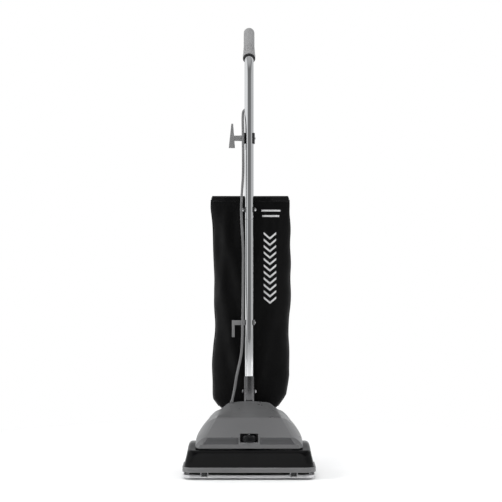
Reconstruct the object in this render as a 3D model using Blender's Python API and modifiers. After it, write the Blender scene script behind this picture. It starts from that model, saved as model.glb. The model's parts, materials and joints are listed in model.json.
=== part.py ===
"""Commercial upright vacuum cleaner with a hanging cloth dust bag, as an assembly of its separate pieces.

Metres, +Z up. The machine's front is towards -Y, and the origin is on the floor under the middle of its
bounding box. The base stands on its wheels, and the handle group is built along its own tube, in the
handle_pivot empty's space: Z up the tube, Y behind it. The cord's route is in the same two spaces.
"""

from math import atan2, ceil, acos, cos, hypot, pi, radians, sin

import bmesh
import bpy
from mathutils import Matrix, Vector

# ---- overall -------------------------------------------------------------------------------------
GAP = 0.0003  # what touching pieces keep between them
FRONT = -0.2484  # the bumper's front plane
BUMPER_WIDTH = 0.340
PLATE_CLEARANCE = 0.004  # floor to the underside of the bottom plate

# ---- nozzle --------------------------------------------------------------------------------------
BUMPER_WALL = 0.0045  # from the bumper's face to the shell's
SHELL_WIDTH = BUMPER_WIDTH - 2 * BUMPER_WALL
SHELL_WALL = 0.003
SHELL_CORNER = 0.0215
SHELL_BOTTOM = 0.0195
SHELL_DEPTH = 0.115
SHELL_START = BUMPER_WALL  # its front face behind the bumper's
SHELL_TOP = 0.088
BUMPER_BOTTOM = 0.0212
BUMPER_HEIGHT = 0.0131
BUMPER_RADIUS = 0.026
PLATE_THICKNESS = 0.0015
PLATE_RIM = 0.0075
PLATE_HALF = BUMPER_WIDTH / 2 - 0.0030
MOUTH_HALF = SHELL_WIDTH / 2 - 0.0235
MOUTH_DEPTH = 0.046
EAR_X = SHELL_WIDTH / 2 - 0.0520  # latch places either side of the middle
EAR_WIDTH = 0.025
EAR_HEIGHT = 0.0075

# ---- brush roll ----------------------------------------------------------------------------------
ROLL_Y = FRONT + 0.062
ROLL_Z = 0.033
ROLL_RADIUS = 0.0165
ROLL_HALF = MOUTH_HALF + 0.0020
GROOVE_RADIUS = 0.0145
GROOVE_WIDTH = 0.016
BRISTLE_TIP = 0.0285
BRISTLE_WIDTH = 0.004
BELT_RADIUS = 0.0021

# ---- motor and fan -------------------------------------------------------------------------------
DUCT_Z = 0.027
DUCT_HALF_HEIGHT = 0.0145
DUCT_HALF_WIDTH = 0.027
MOTOR_RADIUS = 0.048
MOTOR_Z = DUCT_Z + DUCT_HALF_HEIGHT + MOTOR_RADIUS + 0.0025
MOTOR_FRONT = FRONT + 0.155
MOTOR_LENGTH = 0.100
CAN_WALL = 0.002
FAN_EYE = 0.019
SCROLL_RADIUS = MOTOR_RADIUS + 0.004
SCROLL_WALL = 0.003
FAN_RADIUS = SCROLL_RADIUS - SCROLL_WALL - 0.003
SCROLL_FRONT = FRONT + 0.1225
SCROLL_DEPTH = 0.0300
COVER_THICKNESS = 0.0035
SHAFT_RADIUS = 0.004
SHAFT_FRONT = FRONT + 0.091
PULLEY_Y = FRONT + 0.098
BEARING_RADIUS = 0.011
BEARING_WIDTH = 0.007

# ---- chassis and wheels --------------------------------------------------------------------------
CHASSIS_HALF = 0.065
CHASSIS_WALL = 0.003
CHASSIS_BOTTOM = 0.009
CHASSIS_TOP = 0.084
CHASSIS_FRONT = FRONT + SHELL_DEPTH + GAP
CHASSIS_REAR = FRONT + 0.300
REAR_WALL_TOP = 0.056
COLLAR_RADIUS = 0.0205
COLLAR_Y = FRONT + 0.3015
COLLAR_Z = 0.0525
COLLAR_TURN = 36  # degrees that the collar points up from straight back
REAR_WHEEL_RADIUS = 0.038
REAR_WHEEL_WIDTH = 0.024
REAR_WHEEL_X = CHASSIS_HALF + 0.035
REAR_WHEEL_Y = FRONT + 0.262
REAR_AXLE_RADIUS = 0.004
PEDAL_X = 0.046  # the pedal is this far right of the middle, and the switch left of it
PEDAL_HALF = 0.010
SWITCH_HALF = 0.009
FRONT_WHEEL_RADIUS = 0.015
FRONT_WHEEL_WIDTH = 0.014
FRONT_WHEEL_X = 0.051
FRONT_WHEEL_Y = FRONT + 0.132
FRONT_AXLE_RADIUS = 0.0025
CARRIAGE_Y = FRONT + 0.1545
CARRIAGE_Z = 0.0165
BORE_CLEARANCE = 0.0004  # radial, in every running bore

# ---- hood ----------------------------------------------------------------------------------------
HOOD_WALL = 0.003
HOOD_HALF = SHELL_WIDTH / 2 - 0.0280
HOOD_CREST = MOTOR_Z + MOTOR_RADIUS + 0.0055  # height of its front crease
HOOD_BOTTOM = SHELL_TOP + 0.0018
HOOD_DEPTH = 0.262
KNOB_RADIUS = 0.0212
KNOB_HEIGHT = 0.0165
KNOB_Y = FRONT + 0.0415
KNOB_Z = 0.0925
KNOB_SHAFT_RADIUS = 0.004

# ---- handle --------------------------------------------------------------------------------------
PIVOT_Y = FRONT + 0.232
PIVOT_Z = 0.092
HANDLE_LEAN = radians(4)
TUBE_OFFSET = 0.052  # the tube's axis behind the pivot
TUBE_RADIUS = 0.0127
TUBE_WALL = 0.0014
TUBE_SIDES = 16
SOCKET_WALL = 0.0022
SOCKET_RADIUS = TUBE_RADIUS + SOCKET_WALL + 0.0005
SOCKET_BOTTOM = 0.0815
SOCKET_TOP = 0.150
STUB_TOP = 0.126  # where the fork's stub ends inside the socket
FORK_ARM_X = CHASSIS_HALF + 0.0080
FORK_ARM_THICKNESS = 0.006
FORK_TOP = 0.080  # the top of the fork's arch above the pivot
FORK_SHOULDER = 0.038
FORK_DEPTH = 0.014
PIN_RADIUS = 0.005
JOINT_HEIGHT = 0.580  # where the two chrome tubes meet
SPIGOT_LENGTH = 0.040
BEND_START = 0.978
BEND_RADIUS = 0.075
GRIP_LEAN = radians(46)
GRIP_LENGTH = 0.150
GRIP_RADIUS = TUBE_RADIUS + 0.0025
GRIP_FLARE = TUBE_RADIUS + 0.0045
SOCKET_BOLT_HEIGHT = 0.1085
CLIP_BOLT_HEIGHT = JOINT_HEIGHT + 0.0265
BOLT_RADIUS = 0.003
LOWER_HOOK_HEIGHT = 0.2965
UPPER_HOOK_HEIGHT = BEND_START - 0.1735
CLAMP_WALL = 0.003
HOOK_REACH = 0.046

# ---- bag -----------------------------------------------------------------------------------------
BAG_HALF_WIDTH = 0.110
BAG_X = 0.0045
BAG_FRONT = TUBE_OFFSET + TUBE_RADIUS + 0.0043  # the bag's front face behind the pivot, along the handle's own Y
BAG_DEPTH = 0.100
BAG_BOTTOM = 0.058
BAG_TOP = JOINT_HEIGHT + 0.065
BAG_WALL = 0.0025
NECK_RADIUS = 0.0245

# ---- cord ----------------------------------------------------------------------------------------
STRAIN_AT = Vector((-0.047, FRONT + 0.258, HOOD_CREST + 0.0065))
CORD_RADIUS = 0.0035
COIL_X = 0.0
COIL_Y = FRONT + 0.705
COIL_MEAN_RADIUS = 0.0625
COIL_LAYERS = 5
COIL_LOW = 0.0022
TIE_THICKNESS = 0.0012
TIE_GAP = 0.0008
COIL_RINGS = 5
PLUG_TURN = radians(96)  # where the plug lies on the coil, from its first ring
PLUG_LENGTH = 0.034

MATERIALS = {
    "black_gloss": ((0.012, 0.012, 0.013), 0.22, 0.0),
    "grey_hood": ((0.150, 0.150, 0.152), 0.25, 0.0),
    "grey_rubber": ((0.170, 0.170, 0.172), 0.65, 0.0),
    "grey_plastic": ((0.200, 0.200, 0.202), 0.45, 0.0),
    "black_plastic": ((0.020, 0.020, 0.021), 0.50, 0.0),
    "chrome": ((0.800, 0.800, 0.810), 0.08, 1.0),
    "satin_steel": ((0.420, 0.420, 0.430), 0.38, 1.0),
    "bright_steel": ((0.650, 0.650, 0.660), 0.25, 1.0),
    "cast_aluminium": ((0.550, 0.550, 0.560), 0.45, 1.0),
    "copper": ((0.720, 0.380, 0.220), 0.35, 1.0),
    "carbon": ((0.030, 0.030, 0.032), 0.60, 0.0),
    "belt_rubber": ((0.015, 0.015, 0.016), 0.80, 0.0),
    "black_fabric": ((0.010, 0.010, 0.011), 0.90, 0.0),
    "bristle": ((0.025, 0.025, 0.028), 0.85, 0.0),
    "cord_rubber": ((0.210, 0.210, 0.212), 0.55, 0.0),
}

SHARP = radians(35)


# ---- modelling helpers ---------------------------------------------------------------------------
def clear_scene():
    """Removes whatever the file opened with."""
    for thing in list(bpy.data.objects):
        bpy.data.objects.remove(thing)


def make_materials():
    """One Principled material for each finish."""
    made = {}
    for name, (colour, roughness, metallic) in MATERIALS.items():
        material = bpy.data.materials.new(name)
        material.use_nodes = True
        shader = material.node_tree.nodes["Principled BSDF"]
        shader.inputs["Base Color"].default_value = (*colour, 1)
        shader.inputs["Roughness"].default_value = roughness
        shader.inputs["Metallic"].default_value = metallic
        made[name] = material
    return made


def new_collection(name):
    collection = bpy.data.collections.new(name)
    bpy.context.scene.collection.children.link(collection)
    return collection


def mesh_from(bm, name):
    """Writes a bmesh into a new mesh, shaded smooth with its sharp edges kept."""
    mesh = bpy.data.meshes.new(name)
    bm.to_mesh(mesh)
    bm.free()
    mesh.shade_smooth()
    mesh.set_sharp_from_angle(angle=SHARP)
    return mesh


def place(obj, material, parent=None):
    """Puts a finished piece in the parts' collection, under the empty that it moves with."""
    PARTS.objects.link(obj)
    if material:
        obj.data.materials.clear()
        obj.data.materials.append(FINISHES[material])
    if parent:
        obj.parent = parent
    return obj


def piece(name, bm, material, parent=None):
    return place(bpy.data.objects.new(name, mesh_from(bm, name)), material, parent)


def tool(name, bm, parent=None):
    """A cutter, or a shape that a Boolean joins, which isn't a piece of its own."""
    obj = bpy.data.objects.new(name, mesh_from(bm, name))
    CUTTERS.objects.link(obj)
    obj.hide_render = True
    obj.display_type = "WIRE"
    if parent:
        obj.parent = parent
    return obj


def boolean(target, other, operation):
    modifier = target.modifiers.new(operation.title(), "BOOLEAN")
    modifier.operation = operation
    modifier.object = other
    modifier.solver = "EXACT"


def cut(target, name, bm):
    boolean(target, tool(name, bm, target.parent), "DIFFERENCE")


def join(target, name, bm):
    boolean(target, tool(name, bm, target.parent), "UNION")


def round_edges(target, width, segments=2):
    modifier = target.modifiers.new("Bevel", "BEVEL")
    modifier.width = width
    modifier.segments = segments
    modifier.limit_method = "ANGLE"


def block(low, high):
    """A box between two corners."""
    bm = bmesh.new()
    size = Vector(high) - Vector(low)
    middle = (Vector(high) + Vector(low)) / 2
    bmesh.ops.create_cube(bm, size=1, matrix=Matrix.Translation(middle) @ Matrix.Diagonal((*size, 1)))
    return bm


AXES = {
    "X": Matrix.Rotation(pi / 2, 4, "Y"),
    "Y": Matrix.Rotation(-pi / 2, 4, "X"),
    "Z": Matrix.Identity(4),
}


def rod(start, radius, length, axis="Z", segments=20, end_radius=None):
    """A cylinder or cone that runs from start along one axis."""
    bm = bmesh.new()
    along = AXES[axis]
    middle = Vector(start) + along @ Vector((0, 0, length / 2))
    bmesh.ops.create_cone(
        bm,
        cap_ends=True,
        segments=segments,
        radius1=radius,
        radius2=radius if end_radius is None else end_radius,
        depth=length,
        matrix=Matrix.Translation(middle) @ along,
    )
    return bm


def turned(profile, centre, axis="Z", segments=24):
    """A solid of revolution: profile is (radius, along) from the top down its outer side."""
    bm = bmesh.new()
    matrix = Matrix.Translation(Vector(centre)) @ AXES[axis]
    ring = [bm.verts.new(matrix @ Vector((r, 0, h))) for r, h in profile]
    for a, b in zip(ring, ring[1:]):
        bm.edges.new((a, b))
    if profile[0] == profile[-1]:
        bm.verts.remove(ring[-1])
        bm.edges.new((ring[-2], ring[0]))
    bmesh.ops.spin(
        bm,
        geom=bm.verts[:] + bm.edges[:],
        cent=Vector(centre),
        axis=matrix.to_3x3() @ Vector((0, 0, 1)),
        angle=2 * pi,
        steps=segments,
        use_merge=True,
    )
    bmesh.ops.remove_doubles(bm, verts=bm.verts[:], dist=1e-6)
    bmesh.ops.recalc_face_normals(bm, faces=bm.faces[:])
    return bm


def ring_profile(inner, outer, low, high):
    """The closed profile of a plain sleeve."""
    return [(inner, high), (outer, high), (outer, low), (inner, low), (inner, high)]


def prism(outline, low, high, axis="Z"):
    """A flat outline made solid between two heights along an axis."""
    bm = bmesh.new()
    lift = {"X": lambda a, b, h: (h, a, b), "Y": lambda a, b, h: (a, h, b), "Z": lambda a, b, h: (a, b, h)}
    bottom = [bm.verts.new(lift[axis](a, b, low)) for a, b in outline]
    face = bm.faces.new(bottom)
    made = bmesh.ops.extrude_face_region(bm, geom=[face])
    shift = Vector(lift[axis](0, 0, high - low))
    moved = [v for v in made["geom"] if isinstance(v, bmesh.types.BMVert)]
    bmesh.ops.translate(bm, vec=shift, verts=moved)
    bmesh.ops.recalc_face_normals(bm, faces=bm.faces[:])
    return bm


def loft(sections, cap_start=False, cap_end=False, closed=False):
    """Skins rows of points that match one to one; closed rows are rings."""
    bm = bmesh.new()
    rows = [[bm.verts.new(p) for p in row] for row in sections]
    count = len(rows[0])
    for lower, upper in zip(rows, rows[1:]):
        for i in range(count if closed else count - 1):
            j = (i + 1) % count
            bm.faces.new((lower[i], lower[j], upper[j], upper[i]))
    if cap_start:
        bm.faces.new(rows[0])
    if cap_end:
        bm.faces.new(rows[-1])
    bmesh.ops.recalc_face_normals(bm, faces=bm.faces[:])
    return bm


def ring_across(centre, turn, half_x, half_z, sides=20):
    """An oval ring round a path that heads back and turns up by some degrees."""
    up = Vector((0, -sin(radians(turn)), cos(radians(turn))))
    side = Vector((1, 0, 0))
    angles = (2 * pi * k / sides for k in range(sides))
    return [Vector(centre) + side * half_x * cos(a) + up * half_z * sin(a) for a in angles]


def arc(centre, radius, start, end, steps):
    """Points along a circle in a plane, angles in radians."""
    turns = (start + (end - start) * i / steps for i in range(steps + 1))
    return [(centre[0] + radius * cos(a), centre[1] + radius * sin(a)) for a in turns]


def capsule(start, end, radius, steps=8):
    """The outline round two points, as of a link or a lever."""
    turn = atan2(end[1] - start[1], end[0] - start[0])
    return arc(end, radius, turn - pi / 2, turn + pi / 2, steps) + arc(
        start, radius, turn + pi / 2, turn + 1.5 * pi, steps
    )


def rounded_box(half_x, half_y, radius, steps=4, centre=(0, 0)):
    """A rectangle with round corners, anticlockwise."""
    points = []
    for i, (sx, sy) in enumerate([(1, 1), (-1, 1), (-1, -1), (1, -1)]):
        corner = (centre[0] + sx * (half_x - radius), centre[1] + sy * (half_y - radius))
        points += arc(corner, radius, i * pi / 2, (i + 1) * pi / 2, steps)
    return points


def tube_along(name, points, radius, material, parent=None, cyclic=False, sides=2):
    """A round bar through points: a curve with a round bevel and closed ends."""
    curve = bpy.data.curves.new(name, "CURVE")
    curve.dimensions = "3D"
    curve.bevel_depth = radius
    curve.bevel_resolution = sides
    curve.use_fill_caps = True
    spline = curve.splines.new("POLY")
    spline.points.add(len(points) - 1)
    for point, place_at in zip(spline.points, points):
        point.co = (*place_at, 1)
    spline.use_cyclic_u = cyclic
    return place(bpy.data.objects.new(name, curve), material, parent)


def tube_mesh(points, radius, sides=2, caps=True):
    """The same round bar as a bmesh, for joining and cutting."""
    curve = bpy.data.curves.new("bar", "CURVE")
    curve.dimensions = "3D"
    curve.bevel_depth = radius
    curve.bevel_resolution = sides
    curve.use_fill_caps = caps
    spline = curve.splines.new("POLY")
    spline.points.add(len(points) - 1)
    for point, place_at in zip(spline.points, points):
        point.co = (*place_at, 1)
    holder = bpy.data.objects.new("bar", curve)
    bpy.context.scene.collection.objects.link(holder)
    mesh = bpy.data.meshes.new_from_object(holder.evaluated_get(bpy.context.evaluated_depsgraph_get()))
    bpy.data.objects.remove(holder)
    bm = bmesh.new()
    bm.from_mesh(mesh)
    bpy.data.meshes.remove(mesh)
    bmesh.ops.remove_doubles(bm, verts=bm.verts[:], dist=1e-6)
    bmesh.ops.recalc_face_normals(bm, faces=bm.faces[:])
    return bm


def smooth_line(points, step):
    """Evenly spaced points on the smooth curve through hand-chosen ones."""
    line = [Vector(p) for p in points]
    line = [2 * line[0] - line[1], *line, 2 * line[-1] - line[-2]]
    fine = []
    for a, b, c, d in zip(line, line[1:], line[2:], line[3:]):
        for k in range(24):
            t = k / 24
            fine.append(
                0.5 * (2 * b + (c - a) * t + (2 * a - 5 * b + 4 * c - d) * t**2 + (3 * b - a - 3 * c + d) * t**3)
            )
    fine.append(line[-2])
    lengths = [0.0]
    for p, q in zip(fine, fine[1:]):
        lengths.append(lengths[-1] + (q - p).length)
    count = ceil(lengths[-1] / step)
    even, i = [], 0
    for k in range(count + 1):
        wanted = lengths[-1] * k / count
        while i < len(fine) - 2 and lengths[i + 1] < wanted:
            i += 1
        share = (wanted - lengths[i]) / (lengths[i + 1] - lengths[i])
        even.append(fine[i].lerp(fine[i + 1], min(share, 1)))
    return even


# ---- nozzle --------------------------------------------------------------------------------------
def shell_section(depth):
    """(half width, top) of the nozzle shell at a depth behind the bumper's front."""
    start = SHELL_START
    inward = max(0.0, 1 - (depth - start) / SHELL_CORNER)
    half = SHELL_WIDTH / 2 - SHELL_CORNER * (1 - (1 - inward**2) ** 0.5)
    rise = min(1.0, max(0.0, (depth - 0.012) / 0.070))
    front_drop = 0.0065 * max(0.0, 1 - (depth - start) / 0.010) ** 2
    top = 0.0765 + (SHELL_TOP - 0.0765) * rise - front_drop
    return half, top


def build_nozzle_shell():
    """Black front housing, open underneath, with a belt slot and the suction port in its rear."""
    sections = []
    for depth in (SHELL_START, 0.0065, 0.010, 0.015, 0.021, 0.028, 0.050, 0.080, SHELL_DEPTH):
        half, top = shell_section(depth)
        draft = 0.0075 * (top - SHELL_BOTTOM) / 0.060
        shoulder = 0.012
        right = [(half, SHELL_BOTTOM), (half, SHELL_BOTTOM + 0.016), (half - draft, top - shoulder)]
        right += [
            (half - draft - shoulder * (1 - cos(a)), top - shoulder * (1 - sin(a)))
            for a in (radians(30), radians(60), radians(90))
        ]
        row = right + [(0.0, top)] + [(-x, z) for x, z in reversed(right)]
        sections.append([Vector((x, FRONT + depth, z)) for x, z in row])
    shell = piece("nozzle_shell", loft(sections, cap_start=True, cap_end=True), "black_gloss")
    wall = shell.modifiers.new("Solidify", "SOLIDIFY")
    wall.thickness = SHELL_WALL
    wall.offset = -1
    slot = block((-0.014, FRONT + 0.055, 0.060), (0.014, FRONT + SHELL_DEPTH + 0.01, 0.120))
    cut(shell, "belt_slot_cutter", slot)
    port_at = (-0.038, FRONT + SHELL_DEPTH - 0.02, 0.055)
    cut(shell, "suction_port_cutter", rod(port_at, 0.019, 0.04, "Y"))
    for side in (-1, 1):
        at = (side * EAR_X, FRONT - 0.002, 0)
        window = block(
            (at[0] - EAR_WIDTH / 2 - 0.001, at[1], SHELL_BOTTOM - 0.01),
            (at[0] + EAR_WIDTH / 2 + 0.001, at[1] + 0.012, SHELL_BOTTOM + 0.0012),
        )
        cut(shell, f"latch_window_cutter_{side}", window)
    return shell


def u_outline(half, front, rear, radius, wall, steps=6):
    """A band round the front and both sides, as seen from above."""
    outer = [(half, rear)]
    outer += arc((half - radius, front + radius), radius, 0, -pi / 2, steps)
    outer += arc((-half + radius, front + radius), radius, -pi / 2, -pi, steps)
    outer += [(-half, rear)]
    inner_radius = radius - wall
    inner = [(-half + wall, rear)]
    inner += arc((-half + radius, front + radius), inner_radius, -pi, -pi / 2, steps)
    inner += arc((half - radius, front + radius), inner_radius, -pi / 2, 0, steps)
    inner += [(half - wall, rear)]
    return outer + inner


def build_bumper():
    """Grey guard strip round the nozzle's lower edge."""
    wall = BUMPER_WALL - GAP
    outline = u_outline(
        BUMPER_WIDTH / 2, FRONT, FRONT + SHELL_DEPTH - 0.004, BUMPER_RADIUS, wall
    )
    bumper = piece(
        "furniture_bumper",
        prism(outline, BUMPER_BOTTOM, BUMPER_BOTTOM + BUMPER_HEIGHT),
        "grey_rubber",
    )
    round_edges(bumper, 0.0012)
    return bumper


def build_bottom_plate():
    """Sheet metal tray under the nozzle, with the mouth for the brush and two cross guards."""
    low = PLATE_CLEARANCE
    front = FRONT + 0.0045
    rear = FRONT + SHELL_DEPTH - 0.002
    half_depth = (rear - front) / 2
    middle = (0, (rear + front) / 2)
    outline = rounded_box(PLATE_HALF, half_depth, 0.021, centre=middle)
    plate = piece("bottom_plate", prism(outline, low, low + PLATE_RIM), "bright_steel")
    inside = rounded_box(
        PLATE_HALF - PLATE_THICKNESS, half_depth - PLATE_THICKNESS, 0.0195, centre=middle
    )
    cut(plate, "tray_cutter", prism(inside, low + PLATE_THICKNESS, low + 0.03))
    mouth = prism(
        rounded_box(MOUTH_HALF, MOUTH_DEPTH / 2, 0.006, centre=(0, ROLL_Y)), low - 0.01, low + 0.01
    )
    cut(plate, "mouth_cutter", mouth)
    bottom = low + PLATE_RIM
    for side in (-1, 1):
        x = side * EAR_X
        ear = [
            (x - EAR_WIDTH / 2, bottom - 0.004),
            (x + EAR_WIDTH / 2, bottom - 0.004),
            (x + EAR_WIDTH / 2 - 0.0035, bottom + EAR_HEIGHT),
            (x - EAR_WIDTH / 2 + 0.0035, bottom + EAR_HEIGHT),
        ]
        join(plate, f"ear_joiner_{side}", prism(ear, front + 0.0001, front + PLATE_THICKNESS - 0.0001, "Y"))
        hollow = [
            (x - EAR_WIDTH / 2 + 0.0035, bottom - 0.0035),
            (x + EAR_WIDTH / 2 - 0.0035, bottom - 0.0035),
            (x + EAR_WIDTH / 2 - 0.0060, bottom + EAR_HEIGHT + 0.001),
            (x - EAR_WIDTH / 2 + 0.0060, bottom + EAR_HEIGHT + 0.001),
        ]
        cut(plate, f"ear_cutter_{side}", prism(hollow, front - 0.002, front + 0.004, "Y"))
    return plate


def build_plate_latches():
    """A flip latch in each ear of the bottom plate, hinged along its lower edge."""
    pivot_z = PLATE_CLEARANCE + PLATE_RIM - 0.0008
    latches = []
    for name, side in (("plate_latch_left", -1), ("plate_latch_right", 1)):
        width = EAR_WIDTH / 2 - 0.0070
        outline = [
            (-width - 0.0008, -0.0020),
            (width + 0.0008, -0.0020),
            (width, 0.0068),
            (-width, 0.0068),
        ]
        latch = piece(name, prism(outline, -0.0010, 0.0012, "Y"), "black_plastic")
        latch.location = (side * EAR_X, FRONT + 0.0050, pivot_z)
        latches.append(latch)
    return latches


# ---- brush roll and belt -------------------------------------------------------------------------
def build_brush_roll():
    """Turned roll with a belt groove and a journal at each end."""
    groove = GROOVE_WIDTH / 2
    journal = 0.0035
    profile = [
        (0, ROLL_HALF + 0.008),
        (journal, ROLL_HALF + 0.008),
        (journal, ROLL_HALF),
        (ROLL_RADIUS, ROLL_HALF - 0.001),
        (ROLL_RADIUS, groove + 0.002),
        (GROOVE_RADIUS, groove),
        (GROOVE_RADIUS, -groove),
        (ROLL_RADIUS, -groove - 0.002),
        (ROLL_RADIUS, -ROLL_HALF + 0.001),
        (journal, -ROLL_HALF),
        (journal, -ROLL_HALF - 0.008),
        (0, -ROLL_HALF - 0.008),
    ]
    roll = piece("brush_roll", turned(profile, (0, 0, 0), "X", 20), "black_plastic")
    roll.location = (0, ROLL_Y, ROLL_Z)
    return roll


def build_bristles():
    """A tufted row each side of the belt groove, winding a third of a turn along the roll."""
    rows = []
    start = GROOVE_WIDTH / 2 + 0.004
    steps = 10
    for name, side, phase in (("bristle_row_left", -1, 0), ("bristle_row_right", 1, pi)):
        sections = []
        for k in range(steps + 1):
            x = side * (start + (ROLL_HALF - 0.004 - start) * k / steps)
            turn = phase + radians(120) * k / steps
            out = Vector((0, cos(turn), sin(turn)))
            across = Vector((0, -sin(turn), cos(turn))) * BRISTLE_WIDTH / 2
            centre = Vector((x, 0, 0))
            low = centre + out * (ROLL_RADIUS + GAP + 0.0002)
            high = centre + out * BRISTLE_TIP
            sections.append([low - across, low + across, high + across, high - across])
        row = piece(name, loft(sections, True, True, closed=True), "bristle")
        row.location = (0, ROLL_Y, ROLL_Z)
        rows.append(row)
    return rows


def build_roll_bearings():
    """The block at each end that the roll's journal turns in."""
    blocks = []
    for name, side in (("roll_bearing_left", -1), ("roll_bearing_right", 1)):
        start = side * (ROLL_HALF + 0.0035)
        end = side * (SHELL_WIDTH / 2 - SHELL_WALL - 0.0045)
        low = (min(start, end), ROLL_Y - 0.012, ROLL_Z - 0.017)
        high = (max(start, end), ROLL_Y + 0.012, ROLL_Z + 0.017)
        holder = piece(name, block(low, high), "black_plastic")
        bore = rod((-0.5, ROLL_Y, ROLL_Z), 0.0035 + BORE_CLEARANCE, 1.0, "X", 16)
        round_edges(holder, 0.002, 1)
        cut(holder, f"{name}_cutter", bore)
        blocks.append(holder)
    return blocks


def build_belt():
    """Round belt that drops from the motor's shaft and takes a quarter turn round the roll."""
    wrap = SHAFT_RADIUS + BELT_RADIUS + 0.0006
    pull = GROOVE_RADIUS + BELT_RADIUS + 0.0006
    dy = PULLEY_Y - ROLL_Y
    dz = MOTOR_Z - ROLL_Z
    reach = hypot(dy, dz)
    heading = atan2(dz, dy)
    spread = acos(pull / reach)
    points = []
    for k in range(9):
        turn = pi * k / 8
        points.append((wrap * cos(turn), PULLEY_Y, MOTOR_Z + wrap * sin(turn)))
    first, last = heading + spread, heading - spread + 2 * pi
    for k in range(15):
        turn = first + (last - first) * k / 14
        points.append((0, ROLL_Y + pull * cos(turn), ROLL_Z + pull * sin(turn)))
    return tube_along("drive_belt", points, BELT_RADIUS, "belt_rubber", cyclic=True, sides=1)


# ---- motor and fan -------------------------------------------------------------------------------
def build_fan_housing():
    """The scroll that the fan turns in, and its flat front cover with the eye."""
    front = SCROLL_FRONT
    profile = [
        (SHAFT_RADIUS + 0.004, front + SCROLL_DEPTH - SCROLL_WALL),
        (SHAFT_RADIUS + 0.004, front + SCROLL_DEPTH),
        (SCROLL_RADIUS, front + SCROLL_DEPTH),
        (SCROLL_RADIUS, front),
        (SCROLL_RADIUS - SCROLL_WALL, front),
        (SCROLL_RADIUS - SCROLL_WALL, front + SCROLL_DEPTH - SCROLL_WALL),
        (SHAFT_RADIUS + 0.004, front + SCROLL_DEPTH - SCROLL_WALL),
    ]
    scroll = piece("fan_scroll", turned(profile, (0, 0, MOTOR_Z), "Y", 20), "cast_aluminium")
    rear_face = front + SCROLL_DEPTH
    foot_half = DUCT_HALF_WIDTH - 0.001
    foot = block((-foot_half, front + 0.0140, DUCT_Z - 0.0135), (foot_half, rear_face, MOTOR_Z - SCROLL_RADIUS + 0.012))
    join(scroll, "foot_joiner", foot)
    inner = foot_half - SCROLL_WALL
    throat = block(
        (-inner, front + 0.0170, DUCT_Z - 0.011), (inner, rear_face - SCROLL_WALL, MOTOR_Z - SCROLL_RADIUS + 0.016)
    )
    cut(scroll, "throat_cutter", throat)
    swept_depth = SCROLL_DEPTH - SCROLL_WALL - 0.0008
    swept_start = (0, front - 0.01, MOTOR_Z)
    swept = rod(swept_start, SCROLL_RADIUS - SCROLL_WALL - 0.0012, swept_depth + 0.01, "Y", 20)
    cut(scroll, "swept_space_cutter", swept)
    mouth = block((-inner, front + 0.0170, DUCT_Z - 0.011), (inner, rear_face + 0.01, DUCT_Z + 0.011))
    cut(scroll, "duct_mouth_cutter", mouth)

    rear = front - GAP
    cover_profile = ring_profile(FAN_EYE, SCROLL_RADIUS, rear - COVER_THICKNESS, rear)
    cover = piece("fan_cover", turned(cover_profile, (0, 0, MOTOR_Z), "Y", 20), "cast_aluminium")
    return scroll, cover


def build_fan():
    """Backward-swept fan: a back plate with eight blades."""
    rear = SCROLL_FRONT + SCROLL_DEPTH - SCROLL_WALL - 0.003
    profile = ring_profile(SHAFT_RADIUS + GAP, FAN_RADIUS, -0.0025, 0)
    fan = piece("suction_fan", turned(profile, (0, 0, 0), "Y", 20), "cast_aluminium")
    fan.location = (0, rear, MOTOR_Z)
    for k in range(8):
        turn = 2 * pi * k / 8
        blade = block((0.012, -0.0160, -0.0009), (FAN_RADIUS - 0.001, -0.0020, 0.0009))
        sweep = Matrix.Rotation(turn, 4, "Y") @ Matrix.Translation((0.003, 0, 0.010)) @ Matrix.Rotation(
            radians(20), 4, "Y"
        )
        bmesh.ops.transform(blade, matrix=sweep, verts=blade.verts[:])
        joiner = tool(f"blade_joiner_{k}", blade)
        joiner.location = fan.location
        boolean(fan, joiner, "UNION")
    return fan


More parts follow.
